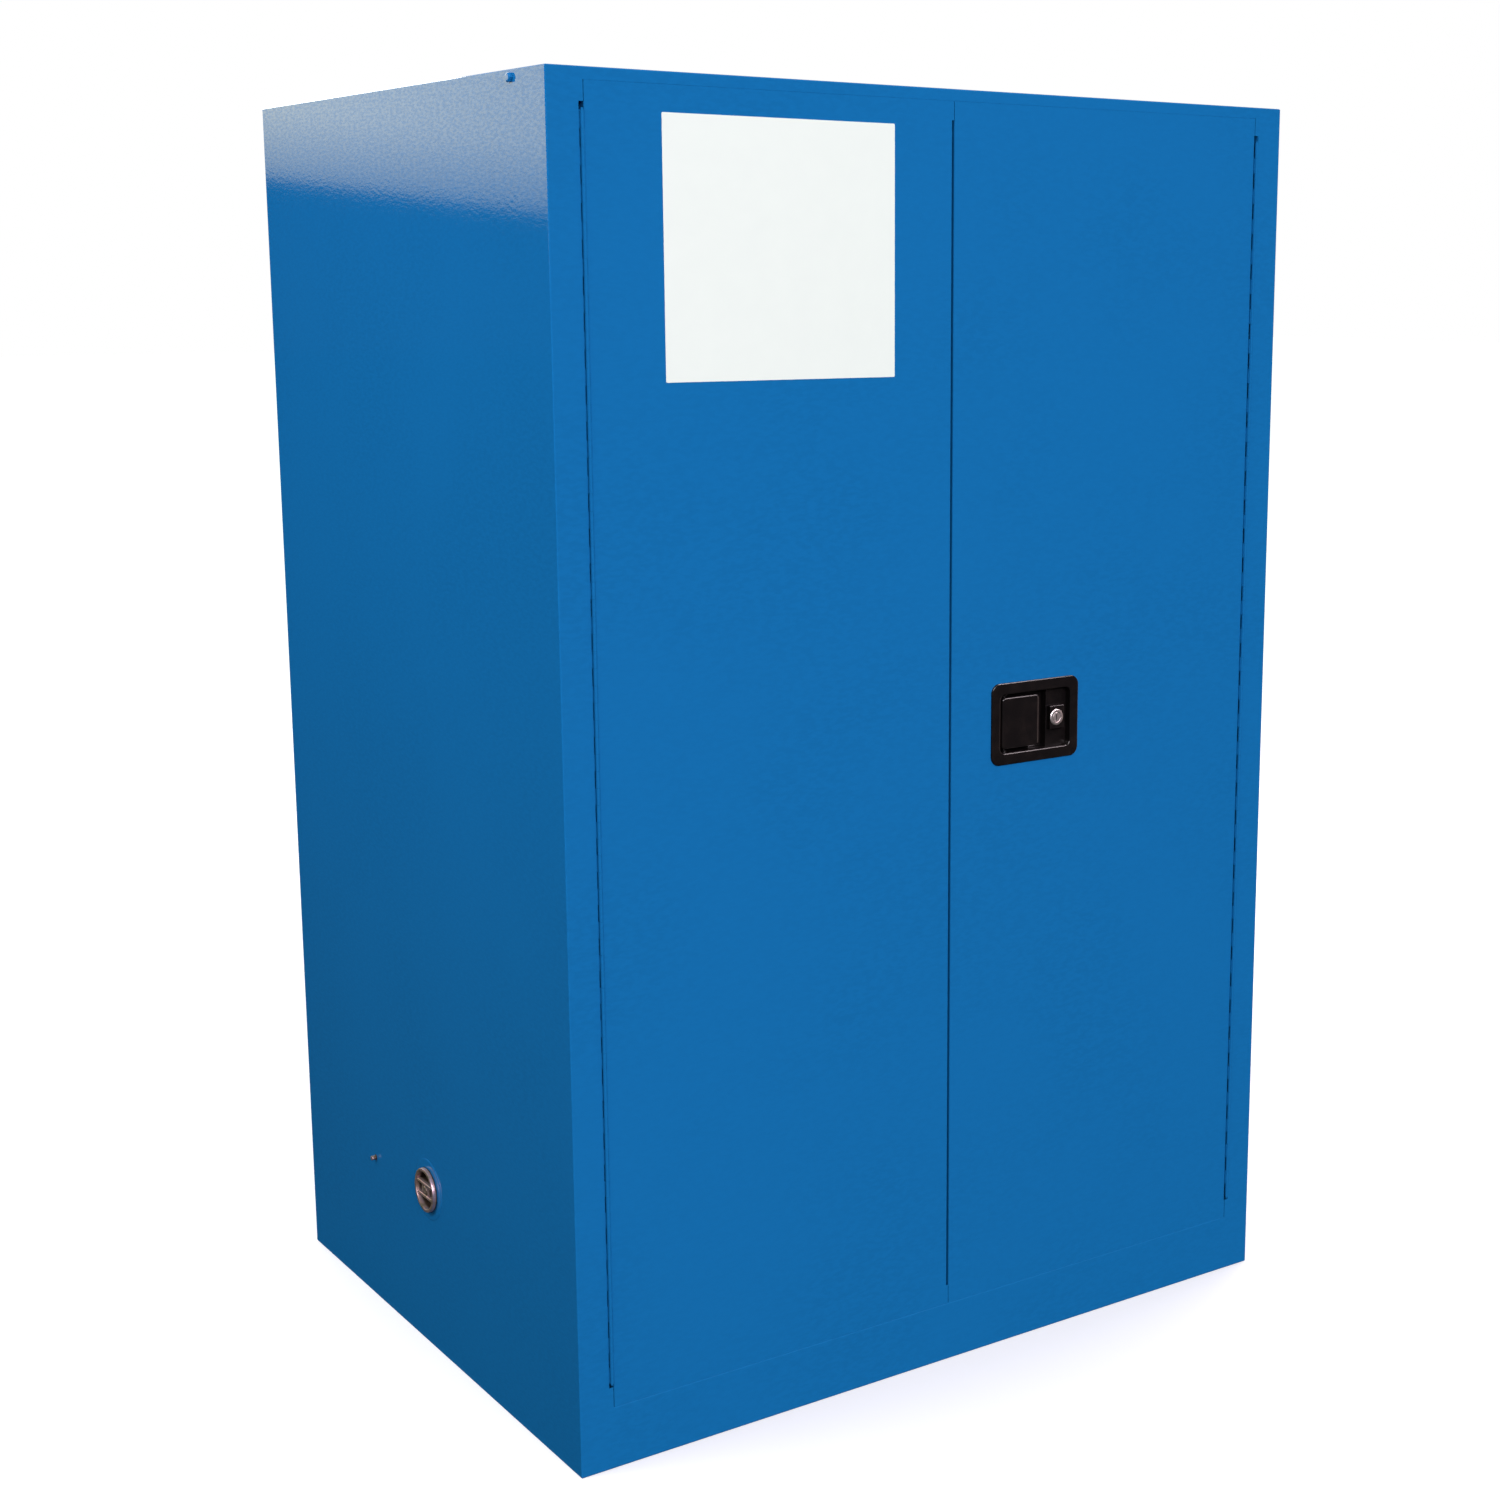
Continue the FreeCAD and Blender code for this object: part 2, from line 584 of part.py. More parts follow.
def latch_pan():
    """Escutcheon and recessed pan in one casting, with the lock's land at the right."""
    half_x, half_z = PLATE_WIDTH / 2, PLATE_HEIGHT / 2
    plate = along_y_rounded(block((LATCH_X - half_x, LATCH_X + half_x), depth(-PLATE_PROUD, 0),
                                  (LATCH_Z - half_z, LATCH_Z + half_z)), PLATE_CORNER)
    rim = [e for e in plate.Edges if abs(e.CenterOfMass.y - FRONT + PLATE_PROUD) < 1e-6]
    plate = plate.makeChamfer(1.0, rim)
    bowl = latch_block(PAN_WALL, depth(-1, PAN_DEPTH + PAN_WALL))
    hollow = along_y_rounded(latch_block(0, depth(-PLATE_PROUD - 1, PAN_DEPTH)), PAN_CORNER)
    shell = plate.fuse(bowl).cut(hollow)

    land_x, right = LATCH_X + LAND_X, bowl.BoundBox.XMax
    tall = (bowl.BoundBox.ZMin, bowl.BoundBox.ZMax)
    behind_land = block((land_x + PAN_WALL, right + 1), depth(LAND_DEPTH + PAN_WALL, PAN_DEPTH + 2), tall)
    land = block((land_x, right), depth(LAND_DEPTH, LAND_DEPTH + PAN_WALL), tall)
    riser = block((land_x, land_x + PAN_WALL), depth(LAND_DEPTH, PAN_DEPTH + PAN_WALL), tall)
    pad = block((LATCH_X + LOCK_PAD[0], LATCH_X + LOCK_PAD[1]), depth(LOCK_PAD_DEPTH, LAND_DEPTH),
                (LATCH_Z - LOCK_PAD_HALF, LATCH_Z + LOCK_PAD_HALF))
    lock_hole = faceted(*lock_axis(-3, 10), LOCK_BARREL, LOCK_SIDES)
    pivot_x = LATCH_X + PIVOT_X
    tail_slot = block((pivot_x - 6.5, pivot_x + 6.5), depth(PAN_DEPTH - 1, PAN_DEPTH + 2),
                      (LATCH_Z - 7.5, LATCH_Z + 7.5))
    pin_holes = faceted((pivot_x, FRONT + PIVOT_DEPTH, LATCH_Z - PAN_HEIGHT),
                        (pivot_x, FRONT + PIVOT_DEPTH, LATCH_Z + PAN_HEIGHT), PIVOT_PIN)
    wall = PAN_HEIGHT / 2
    bosses = [faceted((pivot_x, FRONT + PIVOT_DEPTH, LATCH_Z + way * wall),
                      (pivot_x, FRONT + PIVOT_DEPTH, LATCH_Z + way * (wall - BOSS_REACH)), PIVOT_BOSS)
              for way in (1, -1)]
    pan = shell.cut(behind_land).fuse([land, riser, pad] + bosses).removeSplitter()
    return pan.cut([lock_hole, tail_slot, pin_holes])


def latch_clamps():
    """Angles that hold the pan against the inside of the skin, above and below it."""
    clamps = []
    for way in (1, -1):
        wall = LATCH_Z + way * (PAN_HEIGHT / 2 + PAN_WALL)
        near = sorted((wall, wall + way * 2))
        far = sorted((wall + way * 2, wall + way * 16))
        upright = block((LATCH_X - 35, LATCH_X + 5), depth(SHEET, 15), near)
        foot = block((LATCH_X - 35, LATCH_X + 5), depth(SHEET, SHEET + 2), far)
        clamps.append(upright.fuse(foot).removeSplitter())
    return clamps


def paddle_pin():
    x, reach = LATCH_X + PIVOT_X, PAN_HEIGHT / 2 + PAN_WALL
    y = FRONT + PIVOT_DEPTH
    return cylinder((x, y, LATCH_Z - reach), (x, y, LATCH_Z + reach), PIVOT_PIN)


def latch_paddle():
    """Cast paddle: face, returned edges, rolled pull edge, pivot ears and the tail that works the rotor."""
    left, right = LATCH_X + PADDLE_LEFT, LATCH_X + PADDLE_RIGHT
    low, high = LATCH_Z - PADDLE_HALF, LATCH_Z + PADDLE_HALF
    front, wall_end = PADDLE_DEPTH, PADDLE_DEPTH + PADDLE_WALL + PADDLE_SIDE
    roll_x, roll_depth = right - PADDLE_ROLL, PADDLE_DEPTH + PADDLE_ROLL
    shell = block((left, roll_x), depth(front, wall_end), (low, high))
    shell = shell.makeFillet(4.0, [e for e in shell.Edges if e.Length < 10 and e.CenterOfMass.x < left + 1])
    hollow = block((left + PADDLE_WALL, roll_x + 1), depth(front + PADDLE_WALL, wall_end + 1),
                   (low + PADDLE_WALL, high - PADDLE_WALL))
    roll_y = FRONT + roll_depth
    roll = cylinder((roll_x, roll_y, low + 1), (roll_x, roll_y, high - 1), PADDLE_ROLL)
    paddle = shell.cut(hollow).fuse(roll)

    pivot_x, pivot_y = LATCH_X + PIVOT_X, FRONT + PIVOT_DEPTH
    ears = [faceted((pivot_x, pivot_y, z), (pivot_x, pivot_y, z + PADDLE_WALL), PIVOT_HUB)
            for z in (low, high - PADDLE_WALL)]
    hub = faceted((pivot_x, pivot_y, LATCH_Z - 8), (pivot_x, pivot_y, LATCH_Z + 8), PIVOT_HUB)
    web = block((pivot_x - 2, pivot_x + 2), (FRONT + front + 1, pivot_y), (LATCH_Z - 8, LATCH_Z + 8))
    tail = block((pivot_x - TAIL_THICK / 2, pivot_x + TAIL_THICK / 2), (pivot_y, pivot_y + TAIL),
                 (LATCH_Z - 5, LATCH_Z + 5))
    tail.rotate(Vector(pivot_x, pivot_y, 0), Vector(0, 0, 1), math.degrees(HALF_SWING))
    bore = faceted((pivot_x, pivot_y, low - 1), (pivot_x, pivot_y, high + 1), PIVOT_PIN + PIN_PLAY)
    return paddle.fuse(ears + [hub, web, tail]).removeSplitter().cut(bore)


def paddle_spring():
    """Torsion spring round the paddle's pin, one leg on the pan and one behind the paddle's face."""
    x, y = LATCH_X + PIVOT_X, FRONT + PIVOT_DEPTH
    mean, half, pitch, turns, steps = 3.6, 0.5, 1.3, 3, 8
    low = LATCH_Z + 9
    top = low + pitch * turns
    loops = []
    for k in range(turns * steps + 1):
        angle, z = 2 * math.pi * k / steps, low + pitch * k / steps
        square = [(mean + a * half, z + b * half) for a, b in ((-1, -1), (1, -1), (1, 1), (-1, 1))]
        loops.append([Vector(x + r * math.cos(angle), y + r * math.sin(angle), h) for r, h in square])
    outlines = [loops[0], loops[-1]]
    for near, far in zip(loops, loops[1:]):
        for a, b in ((0, 1), (1, 2), (2, 3), (3, 0)):
            outlines += [[near[a], near[b], far[b]], [near[a], far[b], far[a]]]
    faces = [Part.Face(Part.makePolygon(corners + corners[:1])) for corners in outlines]
    coil = Part.makeSolid(Part.makeShell(faces))
    leg_x = (x + mean - half, x + mean + half)
    back_leg = block(leg_x, (y, FRONT + PAN_DEPTH), (low - half, low + half))
    face_leg = block(leg_x, (FRONT + PADDLE_DEPTH + PADDLE_WALL, y), (top - half, top + half))
    return coil.fuse([back_leg, face_leg])


def xz_arm(angle, reach, half, y):
    """Bar from the rotor's axis, at an angle from +X towards +Z."""
    bar = block((ROTOR_X, ROTOR_X + reach), y, (ROTOR_Z - half, ROTOR_Z + half))
    return turned_y(bar, ROTOR_X, ROTOR_Z, -angle)


def rotor_pin(angle, reach, radius, y):
    x = ROTOR_X + reach * math.cos(math.radians(angle))
    z = ROTOR_Z + reach * math.sin(math.radians(angle))
    return cylinder((x, y[0], z), (x, y[1], z), radius)


def rotor_axis(*behind):
    """Points on the rotor's axis."""
    return [(ROTOR_X, y, ROTOR_Z) for y in depth(*behind)]


def latch_rotor():
    """Three-armed rotor: a crank pin for each rod and the bolt, and one that the paddle's tail pushes."""
    lean = SWING / 2
    plate_y = depth(ROTOR_DEPTH, ROTOR_DEPTH + ROTOR_THICK)
    crank_y = depth(ROTOR_DEPTH + 1, TONGUE_DEPTH + TONGUE_THICK + 1.5)
    drive_y = depth(ROTOR_DEPTH - 4, ROTOR_DEPTH + 1)
    reach = ROTOR_ARM + ROTOR_ARM_HALF
    arms = [xz_arm(a, reach, ROTOR_ARM_HALF, plate_y) for a in (lean, 90 + lean, 180 + lean)]
    cranks = [rotor_pin(a, ROTOR_ARM, CRANK_PIN, crank_y) for a in (lean, 90 + lean, 180 + lean)]
    drive = rotor_pin(90 + lean, DRIVE_ARM, DRIVE_PIN, drive_y)
    hub = faceted(*rotor_axis(PAN_DEPTH + PAN_WALL + 1, ROTOR_DEPTH + ROTOR_THICK), POST + 4)
    bore = faceted(*rotor_axis(PAN_DEPTH, TONGUE_DEPTH), POST + PIN_PLAY)
    return hub.fuse(arms + cranks + [drive]).removeSplitter().cut(bore)


def rotor_post():
    """Shoulder post on the back of the pan, with its retaining head."""
    start, end = PAN_DEPTH + PAN_WALL, ROTOR_DEPTH + ROTOR_THICK + 0.3
    shank = cylinder(*rotor_axis(start, end), POST)
    head = faceted(*rotor_axis(end, end + 1.5), POST + 2.5, 6)
    return shank.fuse(head).removeSplitter()


def crank_slot(x, z, along_x):
    """Slot of a rod's end: a close fit one way, room for the crank pin's sideways travel the other."""
    close = CRANK_PIN + CRANK_PLAY
    loose = close + CRANK_PLAY + SLACK / 2
    half_x, half_z = (loose, close) if along_x else (close, loose)
    return block((x - half_x, x + half_x), depth(TONGUE_DEPTH - 1, TONGUE_DEPTH + TONGUE_THICK + 1),
                 (z - half_z, z + half_z))


def latch_rod(x, crank_z, tip, way):
    """Rod with a flat, slotted end for a crank pin of the rotor; way is 1 upwards and -1 downwards."""
    y = depth(TONGUE_DEPTH, TONGUE_DEPTH + TONGUE_THICK)
    tongue = block((x - TONGUE_HALF, x + TONGUE_HALF), y,
                   sorted((crank_z - way * TONGUE_HALF, crank_z + way * TONGUE)))
    rod = cylinder((x, rod_y(), crank_z + way * (TONGUE - 10)), (x, rod_y(), tip), ROD)
    return rod.fuse(tongue).removeSplitter().cut(crank_slot(x, crank_z, True))


def rod_lug():
    """Lug on the edge of the upper rod's flat end, which the locked cam stands under."""
    return block((UPPER_ROD_X + TONGUE_HALF, LUG_REACH), depth(TONGUE_DEPTH, TONGUE_DEPTH + TONGUE_THICK),
                 BLOCKING_LUG)


def centre_bolt():
    """Flat bar from the rotor's top arm to a square bolt at the centre edge."""
    crank_x = ROTOR_X - CRANK_RISE
    y = depth(TONGUE_DEPTH, TONGUE_DEPTH + TONGUE_THICK)
    x = (BOLT_TIP + BOLT_BLOCK - 4, crank_x + TONGUE_HALF)
    bar = block(x, y, (BOLT_Z - TONGUE_HALF, BOLT_Z + TONGUE_HALF))
    bolt = block((BOLT_TIP, BOLT_TIP + BOLT_BLOCK), depth(27, 35), (BOLT_Z - BOLT_HALF, BOLT_Z + BOLT_HALF))
    tip = [e for e in bolt.Edges if abs(e.CenterOfMass.x - BOLT_TIP) < 1e-6]
    bolt = bolt.makeChamfer(2.0, tip)
    return bolt.fuse(bar).removeSplitter().cut(crank_slot(crank_x, BOLT_Z, False))


def lock_axis(*behind):
    """Points on the lock's axis."""
    return [(LATCH_X + LOCK_X, y, LATCH_Z) for y in depth(*behind)]


def lock_body():
    flange = faceted(*lock_axis(LOCK_PAD_DEPTH - 1.2, LOCK_PAD_DEPTH), LOCK_FLANGE, 2 * LOCK_SIDES)
    barrel = faceted(*lock_axis(LOCK_PAD_DEPTH, 22), LOCK_BARREL, LOCK_SIDES)
    bore = faceted(*lock_axis(-3, 23), LOCK_PLUG + PIN_PLAY, LOCK_SIDES)
    return flange.fuse(barrel).removeSplitter().cut(bore)


def lock_nut():
    """Nut that draws the lock against its land."""
    start = LAND_DEPTH + PAN_WALL
    bore = faceted(*lock_axis(0, 20), LOCK_BARREL, LOCK_SIDES)
    return faceted(*lock_axis(start, start + 4), LOCK_NUT, 2 * LOCK_SIDES).cut(bore)


def lock_plug():
    """Keyed plug, its keyway upright while unlocked."""
    plug = cylinder(*lock_axis(LOCK_PAD_DEPTH - 1, TONGUE_DEPTH), LOCK_PLUG)
    spigot = faceted(*lock_axis(TONGUE_DEPTH, TONGUE_DEPTH + CAM_THICK), LOCK_SPIGOT, 4)
    x = LATCH_X + LOCK_X
    keyway = block((x - 0.7, x + 0.7), depth(-2, 10), (LATCH_Z - 3.8, LATCH_Z + 3.8))
    return plug.fuse(spigot).removeSplitter().cut(keyway)


def lock_cam():
    """Cam on the plug's square tail, hanging clear of the rod while unlocked, with its screw."""
    x = LATCH_X + LOCK_X
    end = TONGUE_DEPTH + CAM_THICK
    plate = block((x - CAM_HALF, x + CAM_HALF), depth(TONGUE_DEPTH, end),
                  (LATCH_Z - CAM_REACH, LATCH_Z + CAM_HALF))
    hole = faceted(*lock_axis(TONGUE_DEPTH - 1, end + 1), LOCK_SPIGOT, 4)
    return [plate.cut(hole), faceted(*lock_axis(end, end + 2), CAM_HALF - 1, 6)]


# Vents, stud, bolts and feet

def vent_axis(side, *x):
    """Points on the axis of a left vent at that side's height."""
    return [(v, VENT_Y, VENT_Z[side]) for v in x]


def vent_socket(side):
    """Neck from the outer panel to the inside, with its ring on the outside."""
    neck = faceted(*vent_axis(side, -SIDE, -LINER_X + 2), VENT_NECK, NECK_SIDES)
    ring = faceted(*vent_axis(side, -SIDE - VENT_RING_THICK, -SIDE), VENT_RING, BUNG_SIDES)
    bore = cylinder(*vent_axis(side, -SIDE - 2, -LINER_X + 3), BUNG_BODY + BUNG_PLAY)
    socket = neck.fuse(ring).removeSplitter().cut(bore)
    return socket if side == "left" else mirrored(socket)


def flame_arrester(side):
    """Ring and screen over the inner end of a vent."""
    start = -LINER_X + 2
    ring = faceted(*vent_axis(side, start, start + 3), VENT_NECK, NECK_SIDES)
    mouth = faceted(*vent_axis(side, start - 1, start + 4), BUNG_BODY - 2, NECK_SIDES)
    screen = faceted(*vent_axis(side, start + 1, start + 2), BUNG_BODY - 2, NECK_SIDES)
    arrester = ring.cut(mouth).fuse(screen).removeSplitter()
    return arrester if side == "left" else mirrored(arrester)


def vent_bung(side):
    """Screwed bung: chamfered rim, deep recess and the crossed bars that a bung wrench grips."""
    z = VENT_Z[side]
    face = -SIDE - BUNG_PROUD
    seat = -SIDE - VENT_RING_THICK - GASKET
    floor = face + 13
    head = faceted(*vent_axis(side, face, seat), BUNG, BUNG_SIDES)
    rim = [e for e in head.Edges if abs(e.CenterOfMass.x - face) < 1e-6]
    head = head.makeChamfer(1.2, rim)
    body_flats = BUNG_BODY * math.cos(math.pi / NECK_SIDES)
    body = faceted(*vent_axis(side, seat, face + 22), body_flats, NECK_SIDES)
    recess = faceted(*vent_axis(side, face - 1, floor), BUNG - 6.5, BUNG_SIDES)
    bung = head.fuse(body).removeSplitter().cut(recess)
    reach = BUNG - 5.5
    bars = []
    for shift in (-7.5, 7.5):
        y, across = VENT_Y + shift, (z + shift - 1.5, z + shift + 1.5)
        bars.append(block((face + 4, floor), (VENT_Y - reach, VENT_Y + reach), across))
        bars.append(block((face + 5, floor), (y - 1.5, y + 1.5), (z - 7.5, z + 7.5)))
    core = faceted(*vent_axis(side, face, floor), BUNG - 6, BUNG_SIDES)
    bars = [bar.common(core) for bar in bars]
    bung = bung.fuse(bars).removeSplitter()
    return bung if side == "left" else mirrored(bung)


def vent_gasket(side):
    seat = -SIDE - VENT_RING_THICK
    ring = faceted(*vent_axis(side, seat - GASKET, seat), BUNG - 0.5, NECK_SIDES)
    ring = ring.cut(faceted(*vent_axis(side, seat - 2, seat + 1), BUNG_BODY + 0.5, NECK_SIDES))
    return ring if side == "left" else mirrored(ring)


def earthing_stud():
    """Clinched stud on the left side, its collar flush with the outside of the panel."""
    shank = cylinder((-SIDE - STUD_PROUD, STUD_Y, STUD_Z), (-SIDE, STUD_Y, STUD_Z), STUD)
    collar = faceted((-SIDE, STUD_Y, STUD_Z), (-SIDE + 2 * SHEET, STUD_Y, STUD_Z), STUD_COLLAR, NECK_SIDES)
    return shank.fuse(collar).removeSplitter()


def panel_bolt():
    """Painted bolt in the top corner of the left side."""
    steps = (-SIDE - PANEL_BOLT_HEAD, -SIDE, -SIDE + SHEET)
    head, face, inside = [(x, PANEL_BOLT_Y, PANEL_BOLT_Z) for x in steps]
    shank = faceted(face, inside, STUD, NECK_SIDES)
    return faceted(head, face, PANEL_BOLT_FLATS / 2, 6).fuse(shank).removeSplitter()


def foot_places():
    return [(x, y) for y in FOOT_Y for x in (-FOOT_X, FOOT_X)]


def levelling_foot(x, y):
    """Levelling bolt, wound right up so that its head is clear of the floor."""
    under = FOOT_CLEAR + 8
    head = faceted((x, y, FOOT_CLEAR), (x, y, under), FOOT_HEAD, 6)
    return faceted((x, y, under), (x, y, FOOT_TOP), FOOT_STEM).fuse(head).removeSplitter()


def foot_nut(x, y):
    """Nut welded over the hole of a foot."""
    low = UNDERSIDE + SHEET
    bore = faceted((x, y, low - 1), (x, y, low + 15), FOOT_STEM + PIN_PLAY)
    return faceted((x, y, low), (x, y, low + 14), 11, 6).cut(bore)


def foot_names():
    ends = ("front_left", "front_right", "rear_left", "rear_right")
    return {f"levelling_foot_{end}": place for end, place in zip(ends, foot_places())}


def nodes():
    """Every sub-part by name; a list is a group of like solids."""
    parts = {
        "left_side_panel": pierced_side("left"),
        "right_side_panel": pierced_side("right"),
        "back_panel": back_panel(),
        "top_panel": top_panel(),
        "bottom_panel": bottom_panel(),
        "front_sill": front_sill(),
        "left_jamb": jamb(),
        "right_jamb": mirrored(jamb()),
        "header_jamb": header_jamb(),
        "header_strike": strike(UPPER_ROD_X, OPENING_TOP + SHEET),
        "sill_strike": strike(LOWER_ROD_X, SILL - SHEET - STRIKE),
        "left_liner": liner_side("left"),
        "right_liner": liner_side("right"),
        "back_liner": liner_back(),
        "ceiling_liner": liner_ceiling(),
        "sump_tray": sump_tray(),
        "shelf_standards": on_four_walls(shelf_standard()),
        "shelf_hooks": [hook for z in SHELF_LEVELS.values() for hook in on_four_walls(shelf_hook(z))],
        "vent_sockets": [vent_socket(side) for side in VENT_Z],
        "flame_arresters": [flame_arrester(side) for side in VENT_Z],
        "earthing_stud": earthing_stud(),
        "panel_bolts": [panel_bolt(), mirrored(panel_bolt())],
        "foot_nuts": [foot_nut(x, y) for x, y in foot_places()],
        "left_hinge_frame_leaf": hinge_leaf(-1, 1),
        "right_hinge_frame_leaf": mirrored(hinge_leaf(-1, 1)),
        "hinge_pins": [hinge_pin(), mirrored(hinge_pin())],
        "left_door_skin": left_door_skin(),
        "left_door_liner": door_liner(),
        "left_hinge_door_leaf": hinge_leaf(1, 0),
        "left_door_keeper": left_door_keeper(),
        "right_door_skin": right_door_skin(),
        "right_door_liner": mirrored(door_liner()),
        "right_hinge_door_leaf": mirrored(hinge_leaf(1, 0)),
        "rod_guides": rod_guides(),
        "latch_pan": latch_pan(),
        "latch_clamps": latch_clamps(),
        "paddle_pin": paddle_pin(),
        "rotor_post": rotor_post(),
        "lock_body": lock_body(),
        "lock_nut": lock_nut(),
        "latch_paddle": latch_paddle(),
        "paddle_spring": paddle_spring(),
        "latch_rotor": latch_rotor(),
        "upper_rod": latch_rod(UPPER_ROD_X, ROTOR_Z + CRANK_RISE, ROD_TOP, 1),
        "rod_lug": rod_lug(),
        "lower_rod": latch_rod(LOWER_ROD_X, ROTOR_Z - CRANK_RISE, ROD_FOOT, -1),
        "centre_bolt": centre_bolt(),
        "lock_plug": lock_plug(),
        "lock_cam": lock_cam(),
    }
    for name, level in SHELF_LEVELS.items():
        parts[name] = shelf(level)
    for side in VENT_Z:
        parts[f"{side}_vent_bung"] = vent_bung(side)
        parts[f"{side}_vent_gasket"] = vent_gasket(side)
    for name, place in foot_names().items():
        parts[name] = levelling_foot(*place)
    return parts


def main():
    os.makedirs("parts", exist_ok=True)
    for name, part in nodes().items():
        shape = Part.makeCompound(part) if isinstance(part, list) else part
        shape.exportStep(f"parts/{name}.step")


main()
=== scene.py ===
"""Looks of a two-door steel cabinet for corrosive liquids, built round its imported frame."""

import json
import math

import bmesh
import bpy
from mathutils import Matrix, Vector


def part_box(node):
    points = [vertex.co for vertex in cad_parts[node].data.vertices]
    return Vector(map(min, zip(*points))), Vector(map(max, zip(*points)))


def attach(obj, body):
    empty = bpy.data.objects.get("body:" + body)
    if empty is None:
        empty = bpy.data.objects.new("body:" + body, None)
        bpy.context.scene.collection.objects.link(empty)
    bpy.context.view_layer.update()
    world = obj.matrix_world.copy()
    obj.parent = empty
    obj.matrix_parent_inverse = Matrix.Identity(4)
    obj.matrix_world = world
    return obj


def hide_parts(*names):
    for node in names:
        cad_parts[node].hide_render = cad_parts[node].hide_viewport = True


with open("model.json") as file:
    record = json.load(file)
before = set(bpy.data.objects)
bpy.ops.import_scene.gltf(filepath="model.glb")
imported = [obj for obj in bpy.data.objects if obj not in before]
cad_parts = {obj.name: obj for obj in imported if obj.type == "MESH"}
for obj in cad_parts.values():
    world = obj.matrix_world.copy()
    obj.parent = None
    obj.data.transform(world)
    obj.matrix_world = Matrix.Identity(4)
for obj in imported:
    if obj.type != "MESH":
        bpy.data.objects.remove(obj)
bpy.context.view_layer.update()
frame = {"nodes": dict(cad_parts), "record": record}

MM = 0.001
SAME = MM / 50             # two places this close are one


# Pieces

ROUND_STEPS = 6            # faces round a plain rounded corner
SHARP = math.radians(35)   # edges sharper than this stay crisp


def block(bm, low, high):
    """Box between two corners."""
    low, high = Vector(low), Vector(high)
    verts = bmesh.ops.create_cube(bm, size=1)["verts"]
    bmesh.ops.scale(bm, vec=high - low, verts=verts)
    bmesh.ops.translate(bm, vec=(low + high) / 2, verts=verts)
    return verts


def edges_of(verts):
    return list({edge for vert in verts for edge in vert.link_edges})


def round_edges(bm, edges, radius, segments=3):
    bmesh.ops.bevel(bm, geom=edges, offset=radius, offset_type="OFFSET", affect="EDGES",
                    segments=segments, profile=0.5, material=-1, clamp_overlap=True)


def soft_block(bm, low, high, radius, segments=2):
    """Box with every edge rounded."""
    round_edges(bm, edges_of(block(bm, low, high)), radius, segments)


def turning_to(axis):
    """Turn that takes +Z to an axis."""
    return Vector((0, 0, 1)).rotation_difference(Vector(axis)).to_matrix().to_4x4()


def rod(bm, start, end, radius, segments=32):
    """Capped round bar."""
    start, end = Vector(start), Vector(end)
    run = end - start
    place = Matrix.Translation((start + end) / 2) @ turning_to(run)
    return bmesh.ops.create_cone(bm, cap_ends=True, segments=segments, radius1=radius, radius2=radius,
                                 depth=run.length, matrix=place)["verts"]


def lathe(bm, centre, axis, profile, steps=64):
    """Profile of (distance along the axis, radius) spun round it. It may end on the axis or close."""
    along = Vector(axis)
    out = along.orthogonal().normalized()
    verts = [bm.verts.new(Vector(centre) + along * d + out * r) for d, r in profile]
    edges = [bm.edges.new(pair) for pair in zip(verts, verts[1:])]
    bmesh.ops.spin(bm, geom=verts + edges, cent=Vector(centre), axis=along, angle=2 * math.pi,
                   steps=steps, use_merge=True)
    bmesh.ops.remove_doubles(bm, verts=bm.verts, dist=0.002 * MM)


def outline(bm, centre, half_x, half_z, corner, segments=ROUND_STEPS):
    """Edges of an upright rectangle with rounded corners, facing along Y: a circle pulled apart."""
    count = 4 * segments
    facing = Matrix.Rotation(math.pi / 2, 4, "X") @ Matrix.Rotation(math.pi / count, 4, "Z")
    verts = bmesh.ops.create_circle(bm, cap_ends=False, segments=count,
                                    radius=corner / math.cos(math.pi / count),
                                    matrix=Matrix.Translation(centre) @ facing)["verts"]
    for vert in verts:
        from_centre = vert.co - centre
        vert.co.x += math.copysign(half_x - corner, from_centre.x)
        vert.co.z += math.copysign(half_z - corner, from_centre.z)
    return edges_of(verts)


def bridged(bm, loops):
    """Skin from each loop to the next."""
    for near, far in zip(loops, loops[1:]):
        bmesh.ops.bridge_loops(bm, edges=near + far)


def piece(bm, name, body, slot, stands_for=(), outward=True):
    """The finished mesh as an object that rides on a body, in that slot's finish."""
    if outward:
        bmesh.ops.recalc_face_normals(bm, faces=bm.faces)
    mesh = bpy.data.meshes.new(name)
    bm.to_mesh(mesh)
    bm.free()
    mesh.shade_smooth()
    mesh.set_sharp_from_angle(angle=SHARP)
    obj = bpy.data.objects.new(name, mesh)
    flat = obj.modifiers.new("flat_faces_stay_flat", "WEIGHTED_NORMAL")
    flat.keep_sharp = True
    bpy.context.scene.collection.objects.link(obj)
    mesh.materials.append(finishes[slot])
    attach(obj, body)
    if stands_for:
        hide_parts(*stands_for)
    return obj


# Finishes

class Number:
    """A number that changes over a surface. Arithmetic on it adds Math nodes."""

    def __init__(self, finish, socket):
        self.finish = finish
        self.socket = socket

    def _with(self, operation, first, second):
        return self.finish.node("ShaderNodeMath", {"operation": operation}, {0: first, 1: second})

    def __add__(self, other):
        return self._with("ADD", self, other)

    def __sub__(self, other):
        return self._with("SUBTRACT", self, other)

    def __rsub__(self, other):
        return self._with("SUBTRACT", other, self)

    def __mul__(self, other):
        return self._with("MULTIPLY", self, other)

    __radd__ = __add__
    __rmul__ = __mul__

    def between(self, low, high):
        """0 at low, 1 at high, smooth between."""
        return self.finish.node("ShaderNodeMapRange", {"interpolation_type": "SMOOTHSTEP"},
                                {"Value": self, "From Min": low, "From Max": high})


